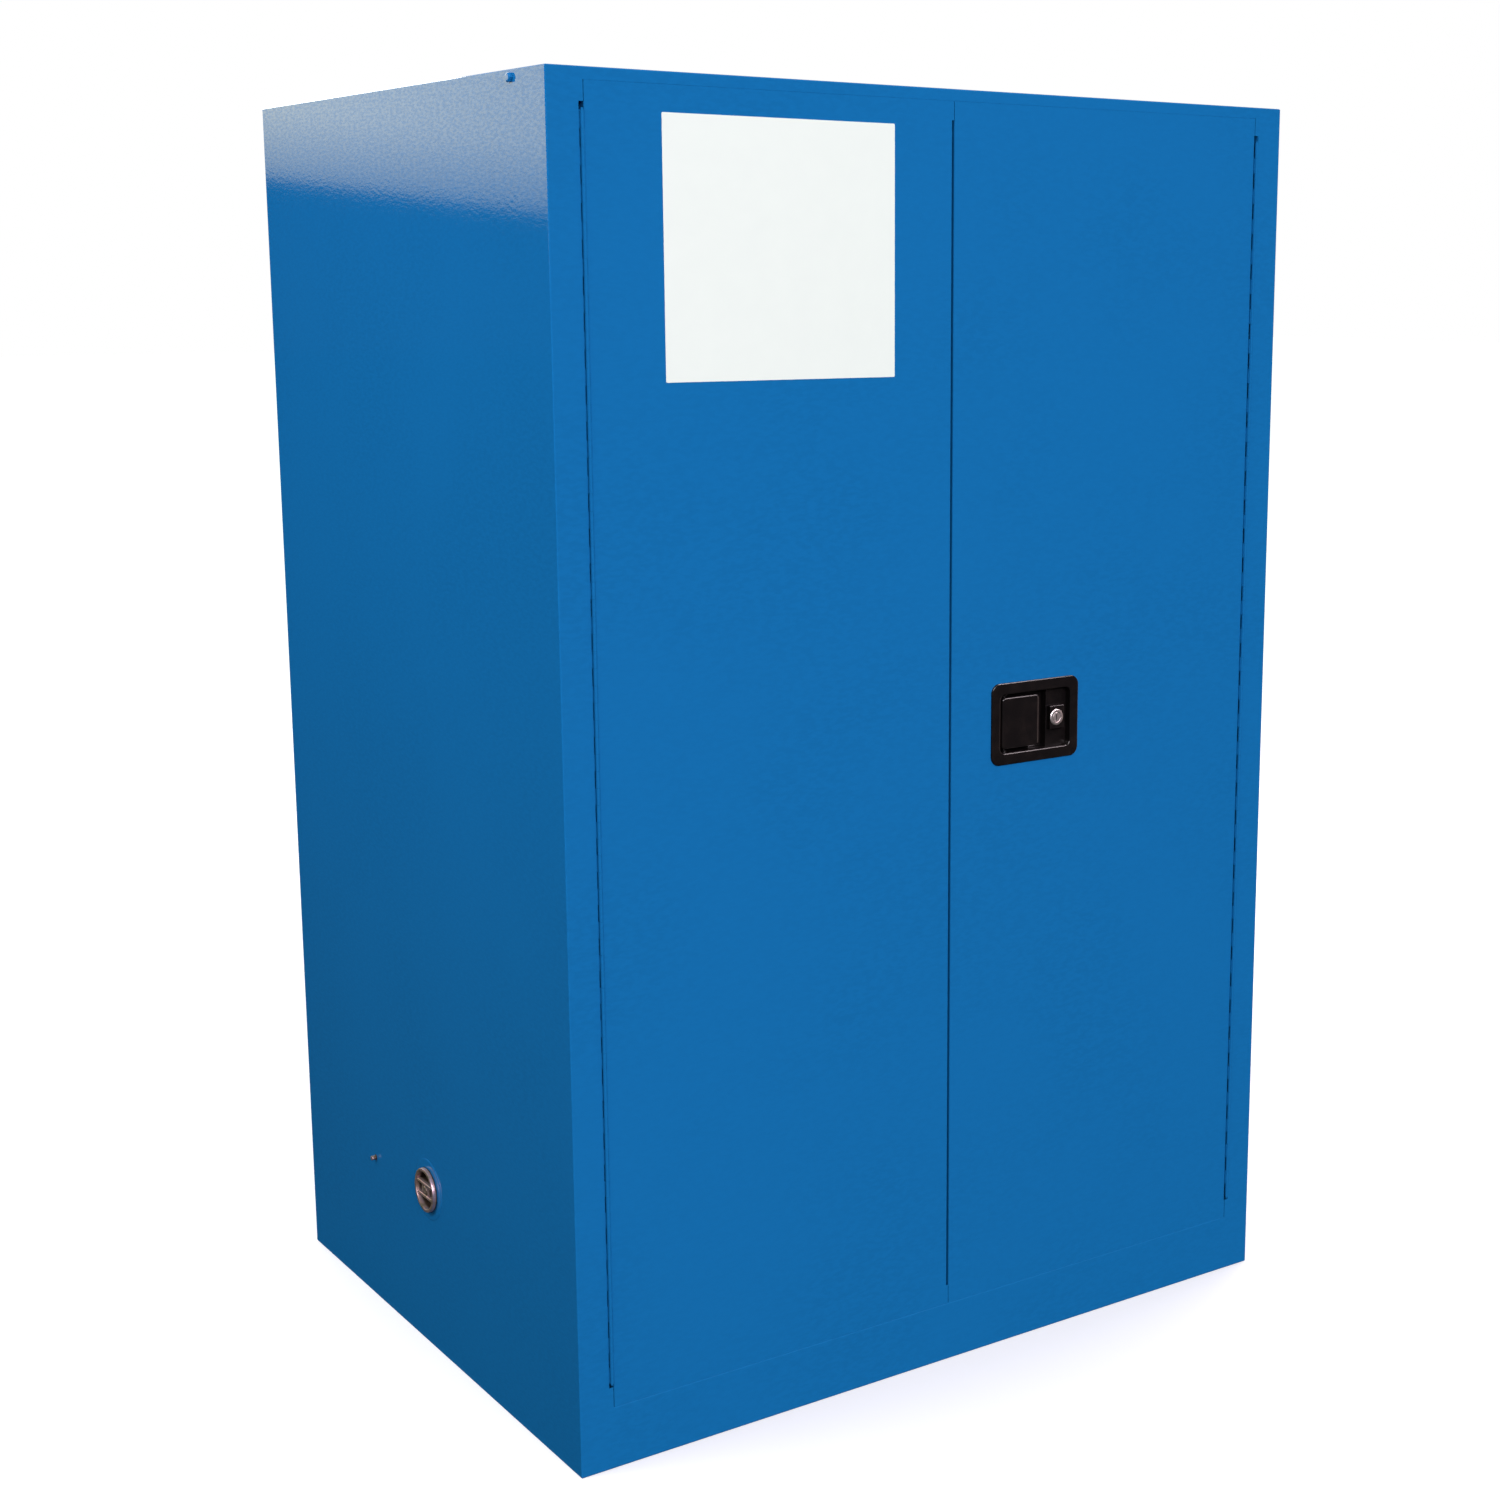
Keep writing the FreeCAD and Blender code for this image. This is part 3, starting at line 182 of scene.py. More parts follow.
class Finish:
    """A material, with the node method that every texture in it comes from."""

    def __init__(self, name, tree=None):
        if tree is None:
            material = bpy.data.materials.new(name)
            material.use_nodes = True
            self.material = material
            tree = material.node_tree
            self.shader = tree.nodes["Principled BSDF"]
        self.tree = tree

    def node(self, kind, settings=None, inputs=None, output=0):
        made = self.tree.nodes.new(kind)
        for name, value in (settings or {}).items():
            if name == "stops":
                ramp = made.color_ramp.elements
                while len(ramp) < len(value):
                    ramp.new(1)
                for stop, (position, colour) in zip(ramp, value):
                    stop.position = position
                    stop.color = (*colour, 1)
            else:
                setattr(made, name, value)
        for name, value in (inputs or {}).items():
            self.put(made.inputs[name], value)
        return Number(self, made.outputs[output])

    def put(self, socket, value):
        if isinstance(value, Number):
            self.tree.links.new(value.socket, socket)
        elif isinstance(value, tuple) and len(value) == 3 and socket.type == "RGBA":
            socket.default_value = (*value, 1)
        else:
            socket.default_value = value

    def set(self, **values):
        """Sockets of the shader by name, with _ for a space."""
        for name, value in values.items():
            self.put(self.shader.inputs[name.replace("_", " ")], value)
        return self.material

    def place(self):
        return self.node("ShaderNodeTexCoord", output="Object")

    def noise(self, per_metre, detail=2.0, stretch=None):
        """Cloudy pattern from 0 to 1 with about that many spots to the metre."""
        where = self.place()
        if stretch:
            where = self.node("ShaderNodeMapping", None, {"Vector": where, "Scale": stretch})
        return self.node("ShaderNodeTexNoise", None,
                         {"Vector": where, "Scale": per_metre, "Detail": detail, "Roughness": 0.55})

    def mix(self, factor, first, second):
        """Colour between two others."""
        return self.node("ShaderNodeMix", {"data_type": "RGBA"}, {0: factor, 6: first, 7: second}, 2)

    def bump(self, height, depth_mm, strength=1.0):
        return self.node("ShaderNodeBump", None,
                         {"Height": height, "Distance": depth_mm * MM, "Strength": strength})


def scaled(colour, factor):
    return tuple(part * factor for part in colour)


def powder_coat():
    """Gloss powder coat: drawn-out orange peel that breaks up a reflection, and faint clouding."""
    finish = Finish("powder_coat")
    blue = (0.0068, 0.136, 0.392)
    peel = finish.noise(90, 3.0, (1, 1, 2.5))
    speckle = finish.noise(110, 2.0, (1, 1, 3))
    cloud = finish.noise(4, 3.0)
    deep = finish.mix(cloud.between(0.3, 0.7), scaled(blue, 0.97), scaled(blue, 1.03))
    return finish.set(
        Base_Color=finish.mix(peel.between(0.35, 0.65), deep, scaled(blue, 1.05)),
        Roughness=cloud * 0.02 + 0.03,
        Specular_IOR_Level=0.38,
        Coat_Weight=speckle.between(0.35, 0.65) * 0.38,
        Coat_Roughness=0.03,
        Normal=finish.bump(peel + speckle * 0.5, 0.032),
    )


def black_coat():
    """Fine-grained satin black on the latch castings, a little brown where it is handled."""
    finish = Finish("black_coat")
    grain = finish.noise(2600, 2.0)
    handled = finish.noise(55, 3.0)
    clean_and_unshaded, worn = (0.0042, 0.0031, 0.0036), (0.0070, 0.0048, 0.0050)
    return finish.set(
        Base_Color=finish.mix(handled.between(0.4, 0.75), clean_and_unshaded, worn),
        Roughness=handled * 0.08 + grain * 0.06 + 0.18,
        Specular_IOR_Level=0.5,
        Normal=finish.bump(grain, 0.004, 0.6),
    )


def zinc_plate():
    finish = Finish("zinc_plate")
    cloud = finish.noise(60, 4.0)
    drawn = finish.noise(500, 2.0, (1, 1, 0.05))
    return finish.set(
        Base_Color=finish.mix(cloud.between(0.35, 0.7), (0.56, 0.58, 0.62), (0.68, 0.68, 0.67)),
        Metallic=0.8,
        Roughness=drawn * 0.18 + cloud * 0.12 + 0.2,
        Normal=finish.bump(drawn, 0.01, 0.5),
    )


def galvanised():
    """Hot-dip zinc with its spangle."""
    finish = Finish("galvanised")
    crystal = finish.node("ShaderNodeTexVoronoi", None,
                          {"Vector": finish.place(), "Scale": 90, "Randomness": 1.0}, output="Color")
    shade = finish.node("ShaderNodeSeparateColor", None, {"Color": crystal})
    cloud = finish.noise(9, 3.0)
    return finish.set(
        Base_Color=finish.mix(shade * 0.6 + cloud * 0.4, (0.40, 0.42, 0.44), (0.60, 0.62, 0.63)),
        Metallic=0.65,
        Roughness=shade * 0.2 + 0.38,
    )


def lock_nickel():
    finish = Finish("lock_nickel")
    fine = finish.noise(1800, 3.0)
    return finish.set(
        Base_Color=finish.mix(fine, (0.66, 0.60, 0.60), (0.78, 0.71, 0.70)),
        Metallic=1.0,
        Roughness=fine * 0.12 + 0.34,
        Normal=finish.bump(fine, 0.006, 0.5),
    )


PAINTED_SHADE_DEPTH = (0.5445, 0.5512)     # from the cabinet's middle: painted shade, dark brown, below this depth in a recess, plain zinc above


def yellow_zinc():
    """Passivated zinc: tan with pink and green tinges, with painted shade, dark brown, where a recess runs
    deep.
    """
    finish = Finish("yellow_zinc")
    tinge = finish.noise(70, 3.0)
    spots = finish.noise(420, 4.0)
    tinges = [(0.32, (0.40, 0.33, 0.26)), (0.46, (0.62, 0.42, 0.38)),
              (0.58, (0.70, 0.46, 0.52)), (0.74, (0.50, 0.44, 0.48))]
    tan = finish.node("ShaderNodeValToRGB", {"stops": tinges}, {"Fac": tinge})
    across = finish.node("ShaderNodeSeparateXYZ", None, {"Vector": finish.place()}, output="X")
    out = finish.node("ShaderNodeMath", {"operation": "ABSOLUTE"}, {0: across})
    # painted shade: the zinc turns dark brown and less metallic the deeper it sits in a recess
    clean_and_unshaded = out.between(*PAINTED_SHADE_DEPTH)
    recess_shade = finish.mix(spots.between(0.3, 0.7), (0.026, 0.013, 0.010), (0.070, 0.040, 0.030))
    return finish.set(
        Base_Color=finish.mix(clean_and_unshaded * (1 - spots.between(0.58, 0.78) * 0.6), recess_shade, tan),
        Metallic=clean_and_unshaded * 0.6 + 0.25,
        Roughness=spots * 0.25 + 0.30,
        Normal=finish.bump(spots, 0.02, 0.6),
    )


def gasket_rubber():
    finish = Finish("gasket_rubber")
    grain = finish.noise(1500, 3.0)
    return finish.set(
        Base_Color=finish.mix(grain, (0.012, 0.012, 0.013), (0.028, 0.028, 0.028)),
        Roughness=grain * 0.15 + 0.62,
        Normal=finish.bump(grain, 0.03),
    )


def screen_steel():
    """Woven wire: two crossed sets of ribs."""
    finish = Finish("screen_steel")
    ribs = []
    for axis in ("Y", "Z"):
        ribs.append(finish.node("ShaderNodeTexWave", {"bands_direction": axis},
                                {"Vector": finish.place(), "Scale": 160, "Distortion": 0.0}, output=1))
    weave = ribs[0] * ribs[1]
    return finish.set(
        Base_Color=finish.mix(weave, (0.02, 0.02, 0.02), (0.55, 0.55, 0.56)),
        Metallic=0.9,
        Roughness=0.6 - weave * 0.25,
        Normal=finish.bump(weave, 0.3),
    )


def label_vinyl():
    """Plain white self-adhesive sheet with a satin film."""
    finish = Finish("label_vinyl")
    film = finish.noise(30, 2.0)
    fine = finish.noise(700, 2.0)
    return finish.set(
        Base_Color=finish.mix(film, (0.82, 0.82, 0.825), (0.85, 0.85, 0.85)),
        Roughness=fine * 0.06 + 0.34,
        Normal=finish.bump(film, 0.08, 0.4),
    )


finishes = {
    "blue_coat": powder_coat(),
    "black_coat": black_coat(),
    "zinc_plate": zinc_plate(),
    "galvanised": galvanised(),
    "lock_nickel": lock_nickel(),
    "yellow_zinc": yellow_zinc(),
    "gasket_rubber": gasket_rubber(),
    "screen_steel": screen_steel(),
    "label_vinyl": label_vinyl(),
}


def finish_frame():
    """Every CAD node in the finish of its slot."""
    for part in frame["record"]["subparts"]:
        mesh = frame["nodes"][part["node"]].data
        mesh.materials.clear()
        mesh.materials.append(finishes[part["material_slot"]])


# Hinges

KNUCKLES = 75
KNUCKLE_RADIUS = 2.3 * MM
KNUCKLE_PLAY = 0.1 * MM
KNUCKLE_SIDES = 20
FRAME_CURL = 0.8           # the frame's curl leaves the barrel this many radii behind its axis
LEAF = 1.2 * MM
LEAF_ROUND = 0.2 * MM


def hinge_leaf(side, carrier, body):
    """Leaf with every second knuckle, curled from its own plate. The plain one's barrel is six-sided."""
    node = f"{side}_hinge_{carrier}_leaf"
    low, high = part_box(node)
    first = 0 if carrier == "frame" else 1
    middle = (low.x + high.x) / 2
    axis_y = low.y + (high.x - low.x) / math.sqrt(3)
    outer = -1 if side == "left" else 1
    way = outer if carrier == "frame" else -outer
    plate = sorted((middle + way * (high.x - middle), middle + way * (KNUCKLE_RADIUS - LEAF)))
    curl_y = axis_y + (KNUCKLE_RADIUS * FRAME_CURL if carrier == "frame" else 0)
    pitch = (high.z - low.z) / KNUCKLES
    bm = bmesh.new()
    soft_block(bm, (plate[0], axis_y + KNUCKLE_RADIUS + LEAF, low.z), (plate[1], high.y, high.z),
               LEAF_ROUND, 1)
    for k in range(first, KNUCKLES, 2):
        bottom = low.z + k * pitch + KNUCKLE_PLAY
        top = low.z + (k + 1) * pitch - KNUCKLE_PLAY
        rod(bm, (middle, axis_y, bottom), (middle, axis_y, top), KNUCKLE_RADIUS, KNUCKLE_SIDES)
        block(bm, (plate[0], curl_y, bottom), (plate[1], axis_y + KNUCKLE_RADIUS + 2 * LEAF, top))
    piece(bm, f"{side}_{carrier}_leaf", body, "blue_coat", (node,))


# Latch

def latch_frame():
    """Middle of the latch on the face of the door, and half its plate's size."""
    low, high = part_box("latch_pan")
    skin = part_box("right_door_skin")[0]
    return Vector(((low.x + high.x) / 2, skin.y, (low.z + high.z) / 2)), (high - low) / 2


PAN_HALF = Vector((57.5, 0, 39)) * MM
PAN_CORNER = 8 * MM
PAN_WALL = 1.5 * MM
PAN_DEPTH = 18 * MM
PAN_FILLET = 2.0 * MM      # between the bowl's walls and its floor
PLATE_CORNER = 13 * MM
PLATE_EDGE = 1.5 * MM      # rounding of the plate's outer edge and of its lip into the bowl
CROWN = 0.05 * MM          # leaves flat faces apart from curved ones
LAND_X = 24 * MM
LAND_DEPTH = 7 * MM
LAND_ROUND = 1.0 * MM
PIVOT_X = -44 * MM
PIVOT_DEPTH = 8 * MM
PIVOT_BOSS = 3.5 * MM
BOSS_REACH = 3 * MM
TAIL_SLOT = Vector((6.5, 0, 7.5)) * MM
SLOT_CORNER = 0.5 * MM
LOCK_X = 37 * MM
LOCK_PAD_X = (26.5 * MM, 50.2 * MM)
LOCK_PAD_HALF = 15.5 * MM
LOCK_PAD_DEPTH = 0.5 * MM
LOCK_PAD_ROUND = 0.9 * MM


def quarter(steps=4):
    """Rounded corner as pairs from (1, 0) to (0, 1), measured from its own centre."""
    turns = [k * math.pi / 2 / steps for k in range(steps + 1)]
    return [(math.cos(turn), math.sin(turn)) for turn in turns]


def pan():
    """Plate and bowl as rings from the tail slot round the back, over the plate and down inside."""
    middle, plate = latch_frame()
    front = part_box("latch_pan")[0].y
    bm = bmesh.new()

    def ring(half, corner, y, shift=0.0):
        return outline(bm, Vector((middle.x + shift, y, middle.z)), half.x, half.z, corner)

    def grown(half, by):
        return half + Vector((by, 0, by))

    floor = middle.y + PAN_DEPTH
    loops = [
        ring(TAIL_SLOT, SLOT_CORNER, floor + PAN_WALL - CROWN, PIVOT_X),
        ring(grown(PAN_HALF, PAN_WALL - PAN_FILLET), PAN_CORNER - PAN_FILLET, floor + PAN_WALL),
        ring(grown(PAN_HALF, PAN_WALL), PAN_CORNER, floor + PAN_WALL - PAN_FILLET),
        ring(grown(PAN_HALF, PAN_WALL), PAN_CORNER, middle.y + CROWN),
        ring(plate, PLATE_CORNER, middle.y),
    ]
    for out, along in quarter():
        loops.append(ring(grown(plate, PLATE_EDGE * (out - 1)), PLATE_CORNER + PLATE_EDGE * (out - 1),
                          front + CROWN + PLATE_EDGE * (1 - along)))
    for along, inward in quarter():
        loops.append(ring(grown(PAN_HALF, PLATE_EDGE * (1 - inward)), PAN_CORNER + PLATE_EDGE * (1 - inward),
                          front + PLATE_EDGE * (1 - along)))
    for out, along in quarter():
        loops.append(ring(grown(PAN_HALF, PAN_FILLET * (out - 1)), PAN_CORNER + PAN_FILLET * (out - 1),
                          floor - PAN_FILLET * (1 - along)))
    loops.append(ring(TAIL_SLOT, SLOT_CORNER, floor - CROWN, PIVOT_X))
    bridged(bm, loops + loops[:1])

    right = middle.x + PAN_HALF.x
    land = block(bm, (middle.x + LAND_X, middle.y + LAND_DEPTH, middle.z - PAN_HALF.z),
                 (right, floor + PAN_WALL / 2, middle.z + PAN_HALF.z))
    corners = [e for e in edges_of(land)
               if abs(e.verts[0].co.y - e.verts[1].co.y) > MM and e.verts[0].co.x > right - MM]
    round_edges(bm, corners, PAN_CORNER, ROUND_STEPS)
    near, face = middle.x + LAND_X, middle.y + LAND_DEPTH
    step = [e for e in bm.edges if all(abs(v.co.x - near) < SAME and v.co.y < face + SAME for v in e.verts)]
    round_edges(bm, step, LAND_ROUND)

    pad_low = (middle.x + LOCK_PAD_X[0], middle.y + LOCK_PAD_DEPTH, middle.z - LOCK_PAD_HALF)
    pad_high = (middle.x + LOCK_PAD_X[1], middle.y + LAND_DEPTH + MM, middle.z + LOCK_PAD_HALF)
    soft_block(bm, pad_low, pad_high, LOCK_PAD_ROUND, 3)

    for way in (1, -1):
        wall = Vector((middle.x + PIVOT_X, middle.y + PIVOT_DEPTH, middle.z + way * PAN_HALF.z))
        rod(bm, wall + Vector((0, 0, way * MM)), wall - Vector((0, 0, way * BOSS_REACH)), PIVOT_BOSS)
    return piece(bm, "escutcheon", "right_door", "black_coat", ("latch_pan",))


PADDLE_X = (-52.4 * MM, 11.5 * MM)
PADDLE_HALF = 34 * MM
PADDLE_DEPTH = 0.6 * MM
PADDLE_SIDE = 8.5 * MM
PADDLE_WALL = 2.5 * MM
PADDLE_CORNER = 5.0 * MM
PADDLE_RIM = 2.3 * MM
PADDLE_ROLL = 7.0 * MM
ROLL_SIDES = 48
ROLL_END = 3.0 * MM
EAR_INSET = 0.2 * MM
PIVOT_HUB = 4.5 * MM
HUB_HALF = 8 * MM
WEB = 2 * MM               # half the thickness of the web and the tail
TAIL = 17 * MM
TAIL_HALF = 5 * MM
TAIL_LEAN = math.radians(17.5)


def paddle():
    """Cast paddle with a rolled pull edge, ears on its pin and the tail behind."""
    middle, _ = latch_frame()
    left, right = middle.x + PADDLE_X[0], middle.x + PADDLE_X[1]
    low, high = middle.z - PADDLE_HALF, middle.z + PADDLE_HALF
    front = middle.y + PADDLE_DEPTH
    roll_x = right - PADDLE_ROLL
    bm = bmesh.new()
    block(bm, (left, front, low), (roll_x, front + PADDLE_SIDE, high))
    back = [f for f in bm.faces if f.normal.y > 0.9]
    bmesh.ops.delete(bm, geom=back, context="FACES_ONLY")
    corners = [e for e in bm.edges
               if abs(e.verts[0].co.y - e.verts[1].co.y) > MM and e.verts[0].co.x < left + MM]
    round_edges(bm, corners, PADDLE_CORNER, ROUND_STEPS)
    rim = [e for e in bm.edges if len(e.link_faces) == 2 and all(v.co.y < front + SAME for v in e.verts)
           and min(v.co.x for v in e.verts) < roll_x - MM]
    round_edges(bm, rim, PADDLE_RIM, 5)
    bmesh.ops.recalc_face_normals(bm, faces=bm.faces)
    bmesh.ops.solidify(bm, geom=bm.faces, thickness=PADDLE_WALL)

    roll_y = front + PADDLE_ROLL
    roll = rod(bm, (roll_x, roll_y, low + MM), (roll_x, roll_y, high - MM), PADDLE_ROLL, ROLL_SIDES)
    round_edges(bm, [e for e in edges_of(roll) if abs(e.verts[0].co.z - e.verts[1].co.z) < MM], ROLL_END, 5)

    pivot = Vector((middle.x + PIVOT_X, middle.y + PIVOT_DEPTH, middle.z))
    for start in (low + EAR_INSET, high - PADDLE_WALL - EAR_INSET):
        rod(bm, (pivot.x, pivot.y, start), (pivot.x, pivot.y, start + PADDLE_WALL), PIVOT_HUB)
    rod(bm, pivot - Vector((0, 0, HUB_HALF)), pivot + Vector((0, 0, HUB_HALF)), PIVOT_HUB)
    block(bm, (pivot.x - WEB, front + MM, pivot.z - HUB_HALF), (pivot.x + WEB, pivot.y, pivot.z + HUB_HALF))
    tail = block(bm, (pivot.x - WEB, pivot.y, pivot.z - TAIL_HALF),
                 (pivot.x + WEB, pivot.y + TAIL, pivot.z + TAIL_HALF))
    bmesh.ops.rotate(bm, verts=tail, cent=pivot, matrix=Matrix.Rotation(TAIL_LEAN, 3, "Z"))
    return piece(bm, "paddle", "paddle", "black_coat", ("latch_paddle",), outward=False)


LOCK_FLANGE = 10.7 * MM
LOCK_BARREL = 9.4 * MM
LOCK_BORE = 6.05 * MM
LOCK_PROUD = 1.2 * MM
LOCK_LENGTH = 21.5 * MM
LOCK_DISH = (0.9 * MM, 7.0 * MM, 7.3 * MM)       # depth, then the radii of its floor and its rim
LOCK_CROWN = (9.5 * MM, 10.05 * MM)              # radii where the face turns over and down
PLUG = 6.0 * MM
PLUG_PROUD = 0.8 * MM
PLUG_ROUND = 0.4 * MM
PLUG_LENGTH = 29 * MM
PLUG_STEPS = 7
KEYWAY = (0.75 * MM, 3.9 * MM, 0.4 * MM)         # half width, half height and corner
KEYWAY_DEPTH = 9 * MM
SPIGOT = 2.5 * MM
SPIGOT_LENGTH = 2.8 * MM


def lock():
    """Lock body with its stepped face, and the keyed plug in it."""
    middle, _ = latch_frame()
    centre = Vector((middle.x + LOCK_X, middle.y + LOCK_PAD_DEPTH, middle.z))
    inward = Vector((0, 1, 0))
    bm = bmesh.new()
    dish, dish_floor, dish_rim = LOCK_DISH
    turn, shoulder = LOCK_CROWN
    lathe(bm, centre, inward, [
        (dish - LOCK_PROUD, LOCK_BORE), (dish - LOCK_PROUD, dish_floor), (-LOCK_PROUD, dish_rim),
        (-LOCK_PROUD, turn), (0.25 * MM - LOCK_PROUD, shoulder), (0.7 * MM - LOCK_PROUD, LOCK_FLANGE),
        (0, LOCK_FLANGE), (0, LOCK_BARREL), (LOCK_LENGTH, LOCK_BARREL), (LOCK_LENGTH, LOCK_BORE),
        (dish - LOCK_PROUD, LOCK_BORE)])
    case = piece(bm, "lock_case", "right_door", "lock_nickel", ("lock_body",))

    bm = bmesh.new()
    face = centre - inward * PLUG_PROUD

    def disc(radius, depth):
        """Round ring of the plug at a depth behind its face."""
        return outline(bm, face + inward * depth, radius, radius, radius - MM / 1000, PLUG_STEPS)

    key = outline(bm, face, *KEYWAY, PLUG_STEPS)
    deep = outline(bm, face + inward * KEYWAY_DEPTH, *KEYWAY, PLUG_STEPS)
    bridged(bm, [deep, key, disc(PLUG - PLUG_ROUND, CROWN), disc(PLUG, PLUG_ROUND), disc(PLUG, PLUG_LENGTH)])
    bmesh.ops.holes_fill(bm, edges=[e for e in bm.edges if e.is_boundary])
    block(bm, (centre.x - SPIGOT, face.y + PLUG_LENGTH, centre.z - SPIGOT),
          (centre.x + SPIGOT, face.y + PLUG_LENGTH + SPIGOT_LENGTH, centre.z + SPIGOT))
    return case, piece(bm, "key_plug", "lock_plug", "lock_nickel", ("lock_plug",))


# Vents, stud and bolts

VENT_BORE = 27.1 * MM
VENT_NECK = 33 * MM
VENT_RING = 42 * MM
VENT_DEPTH = 36 * MM
RING_PLATE = 0.6 * MM
GASKET = MM
TURNED_SIDES = 72


def vents():
    """Sockets and bungs on both sides."""
    sockets = bmesh.new()
    for side, outward in (("left", -1), ("right", 1)):
        low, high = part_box(f"{side}_vent_gasket")
        seat = min(abs(low.x), abs(high.x))
        centre = Vector((outward * (seat - GASKET), (low.y + high.y) / 2, (low.z + high.z) / 2))
        axis = Vector((outward, 0, 0))
        lathe(sockets, centre, axis, [
            (RING_PLATE, VENT_BORE), (RING_PLATE, VENT_RING - 1.6 * MM),
            (RING_PLATE * 0.8, VENT_RING - 0.8 * MM), (RING_PLATE * 0.35, VENT_RING), (0, VENT_RING),
            (-0.1 * MM, VENT_NECK), (-VENT_DEPTH, VENT_NECK), (-VENT_DEPTH, VENT_BORE),
            (RING_PLATE, VENT_BORE)], TURNED_SIDES)
        bung(side, centre, axis)
    piece(sockets, "vent_necks", "cabinet", "blue_coat", ("vent_sockets",))


BUNG_FACE = 7 * MM
BUNG_SEAT = 2 * MM
BUNG_RADIUS = 30 * MM
BUNG_BODY = 27 * MM
BUNG_TAIL = -15 * MM
RECESS = 25.5 * MM
RECESS_FLOOR = -6 * MM
BAR_SHIFT = 8.5 * MM
BAR_HALF = 2.2 * MM
BAR_ROUND = 1.0 * MM
BAR_BELOW = 0.8 * MM       # long bars below the bung's face
CROSS_BELOW = 2.0 * MM     # short bars below it
BOSS = 5.5 * MM
BOSS_ROUND = 1.2 * MM
THREAD = 2.2 * MM
THREAD_ROOT = BUNG_BODY - 1.1 * MM
THREAD_CREST = BUNG_BODY - 0.1 * MM
THREAD_FLAT = (0.45, 0.55)  # of the pitch, where the crest begins and ends


def bung(side, centre, axis):
    """Turned bung with a threaded body, its recess and the crossed grip bars."""
    bm = bmesh.new()
    thread = []
    turns = int((BUNG_SEAT - BUNG_TAIL) / THREAD)
    for k in range(turns):
        start = BUNG_TAIL + k * THREAD
        thread += [(start, THREAD_ROOT)] + [(start + THREAD * part, THREAD_CREST) for part in THREAD_FLAT]
    lathe(bm, centre, axis, [
        (BUNG_TAIL, 0), *thread, (BUNG_SEAT - 0.5 * MM, THREAD_ROOT), (BUNG_SEAT, THREAD_ROOT),
        (BUNG_SEAT, BUNG_RADIUS - 0.3 * MM), (BUNG_SEAT + 0.3 * MM, BUNG_RADIUS),
        (BUNG_FACE - 1.4 * MM, BUNG_RADIUS), (BUNG_FACE - 0.4 * MM, BUNG_RADIUS - 0.4 * MM),
        (BUNG_FACE, BUNG_RADIUS - 1.4 * MM), (BUNG_FACE, RECESS + 1.2 * MM),
        (BUNG_FACE - 0.35 * MM, RECESS + 0.35 * MM), (BUNG_FACE - 1.2 * MM, RECESS),
        (RECESS_FLOOR + 1.5 * MM, RECESS - 0.8 * MM), (RECESS_FLOOR, RECESS - 2.3 * MM),
        (RECESS_FLOOR, 0)], TURNED_SIDES)

    def between(deep, shallow):
        """Low and high X from two distances along the bung's axis."""
        return sorted((centre.x + axis.x * deep, centre.x + axis.x * shallow))

    floor = RECESS_FLOOR * 1.1
    reach = math.sqrt(RECESS ** 2 - BAR_SHIFT ** 2) - BAR_HALF / 2
    for shift in (-BAR_SHIFT, BAR_SHIFT):
        base, crest = between(floor, BUNG_FACE - BAR_BELOW)
        soft_block(bm, (base, centre.y - reach, centre.z + shift - BAR_HALF),
                   (crest, centre.y + reach, centre.z + shift + BAR_HALF), BAR_ROUND, 3)
        base, crest = between(floor, BUNG_FACE - CROSS_BELOW)
        soft_block(bm, (base, centre.y + shift - BAR_HALF, centre.z - BAR_SHIFT),
                   (crest, centre.y + shift + BAR_HALF, centre.z + BAR_SHIFT), BAR_ROUND, 3)
    boss = rod(bm, centre + axis * floor, centre + axis * (BUNG_FACE - BOSS_ROUND), BOSS)
    round_edges(bm, [e for e in edges_of(boss) if abs(e.verts[0].co.x - e.verts[1].co.x) < SAME], BOSS_ROUND)
    piece(bm, f"{side}_bung", f"{side}_vent_bung", "yellow_zinc", (f"{side}_vent_bung",))


STUD_CREST = 3.0 * MM
STUD_ROOT = 2.55 * MM
STUD_PITCH = 1.0 * MM
STUD_COLLAR = 4.2 * MM
STUD_SIDES = 40


def earthing_stud():
    """Threaded stud through the side, with its collar inside."""
    low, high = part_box("earthing_stud")
    centre = Vector((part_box("left_side_panel")[0].x, (low.y + high.y) / 2, (low.z + high.z) / 2))
    length, inside = centre.x - low.x, centre.x - high.x
    bm = bmesh.new()
    thread = [(0, STUD_CREST)]
    for k in range(int((length - STUD_PITCH) / STUD_PITCH)):
        thread += [((k + 0.4) * STUD_PITCH, STUD_ROOT), ((k + 0.9) * STUD_PITCH, STUD_CREST)]
    lathe(bm, centre, Vector((-1, 0, 0)), [
        (inside, 0), (inside, STUD_COLLAR), (0, STUD_COLLAR), *thread,
        (length - 0.5 * MM, STUD_CREST - 0.1 * MM), (length, STUD_CREST - 0.7 * MM), (length, 0)],
          STUD_SIDES)
    piece(bm, "earth_stud", "cabinet", "yellow_zinc", ("earthing_stud",))


BOLT_CORNER = 5.7 * MM
BOLT_CROWN = 1.8 * MM
WASHER = 5.0 * MM
WASHER_X = (-1.2 * MM, 0.8 * MM)


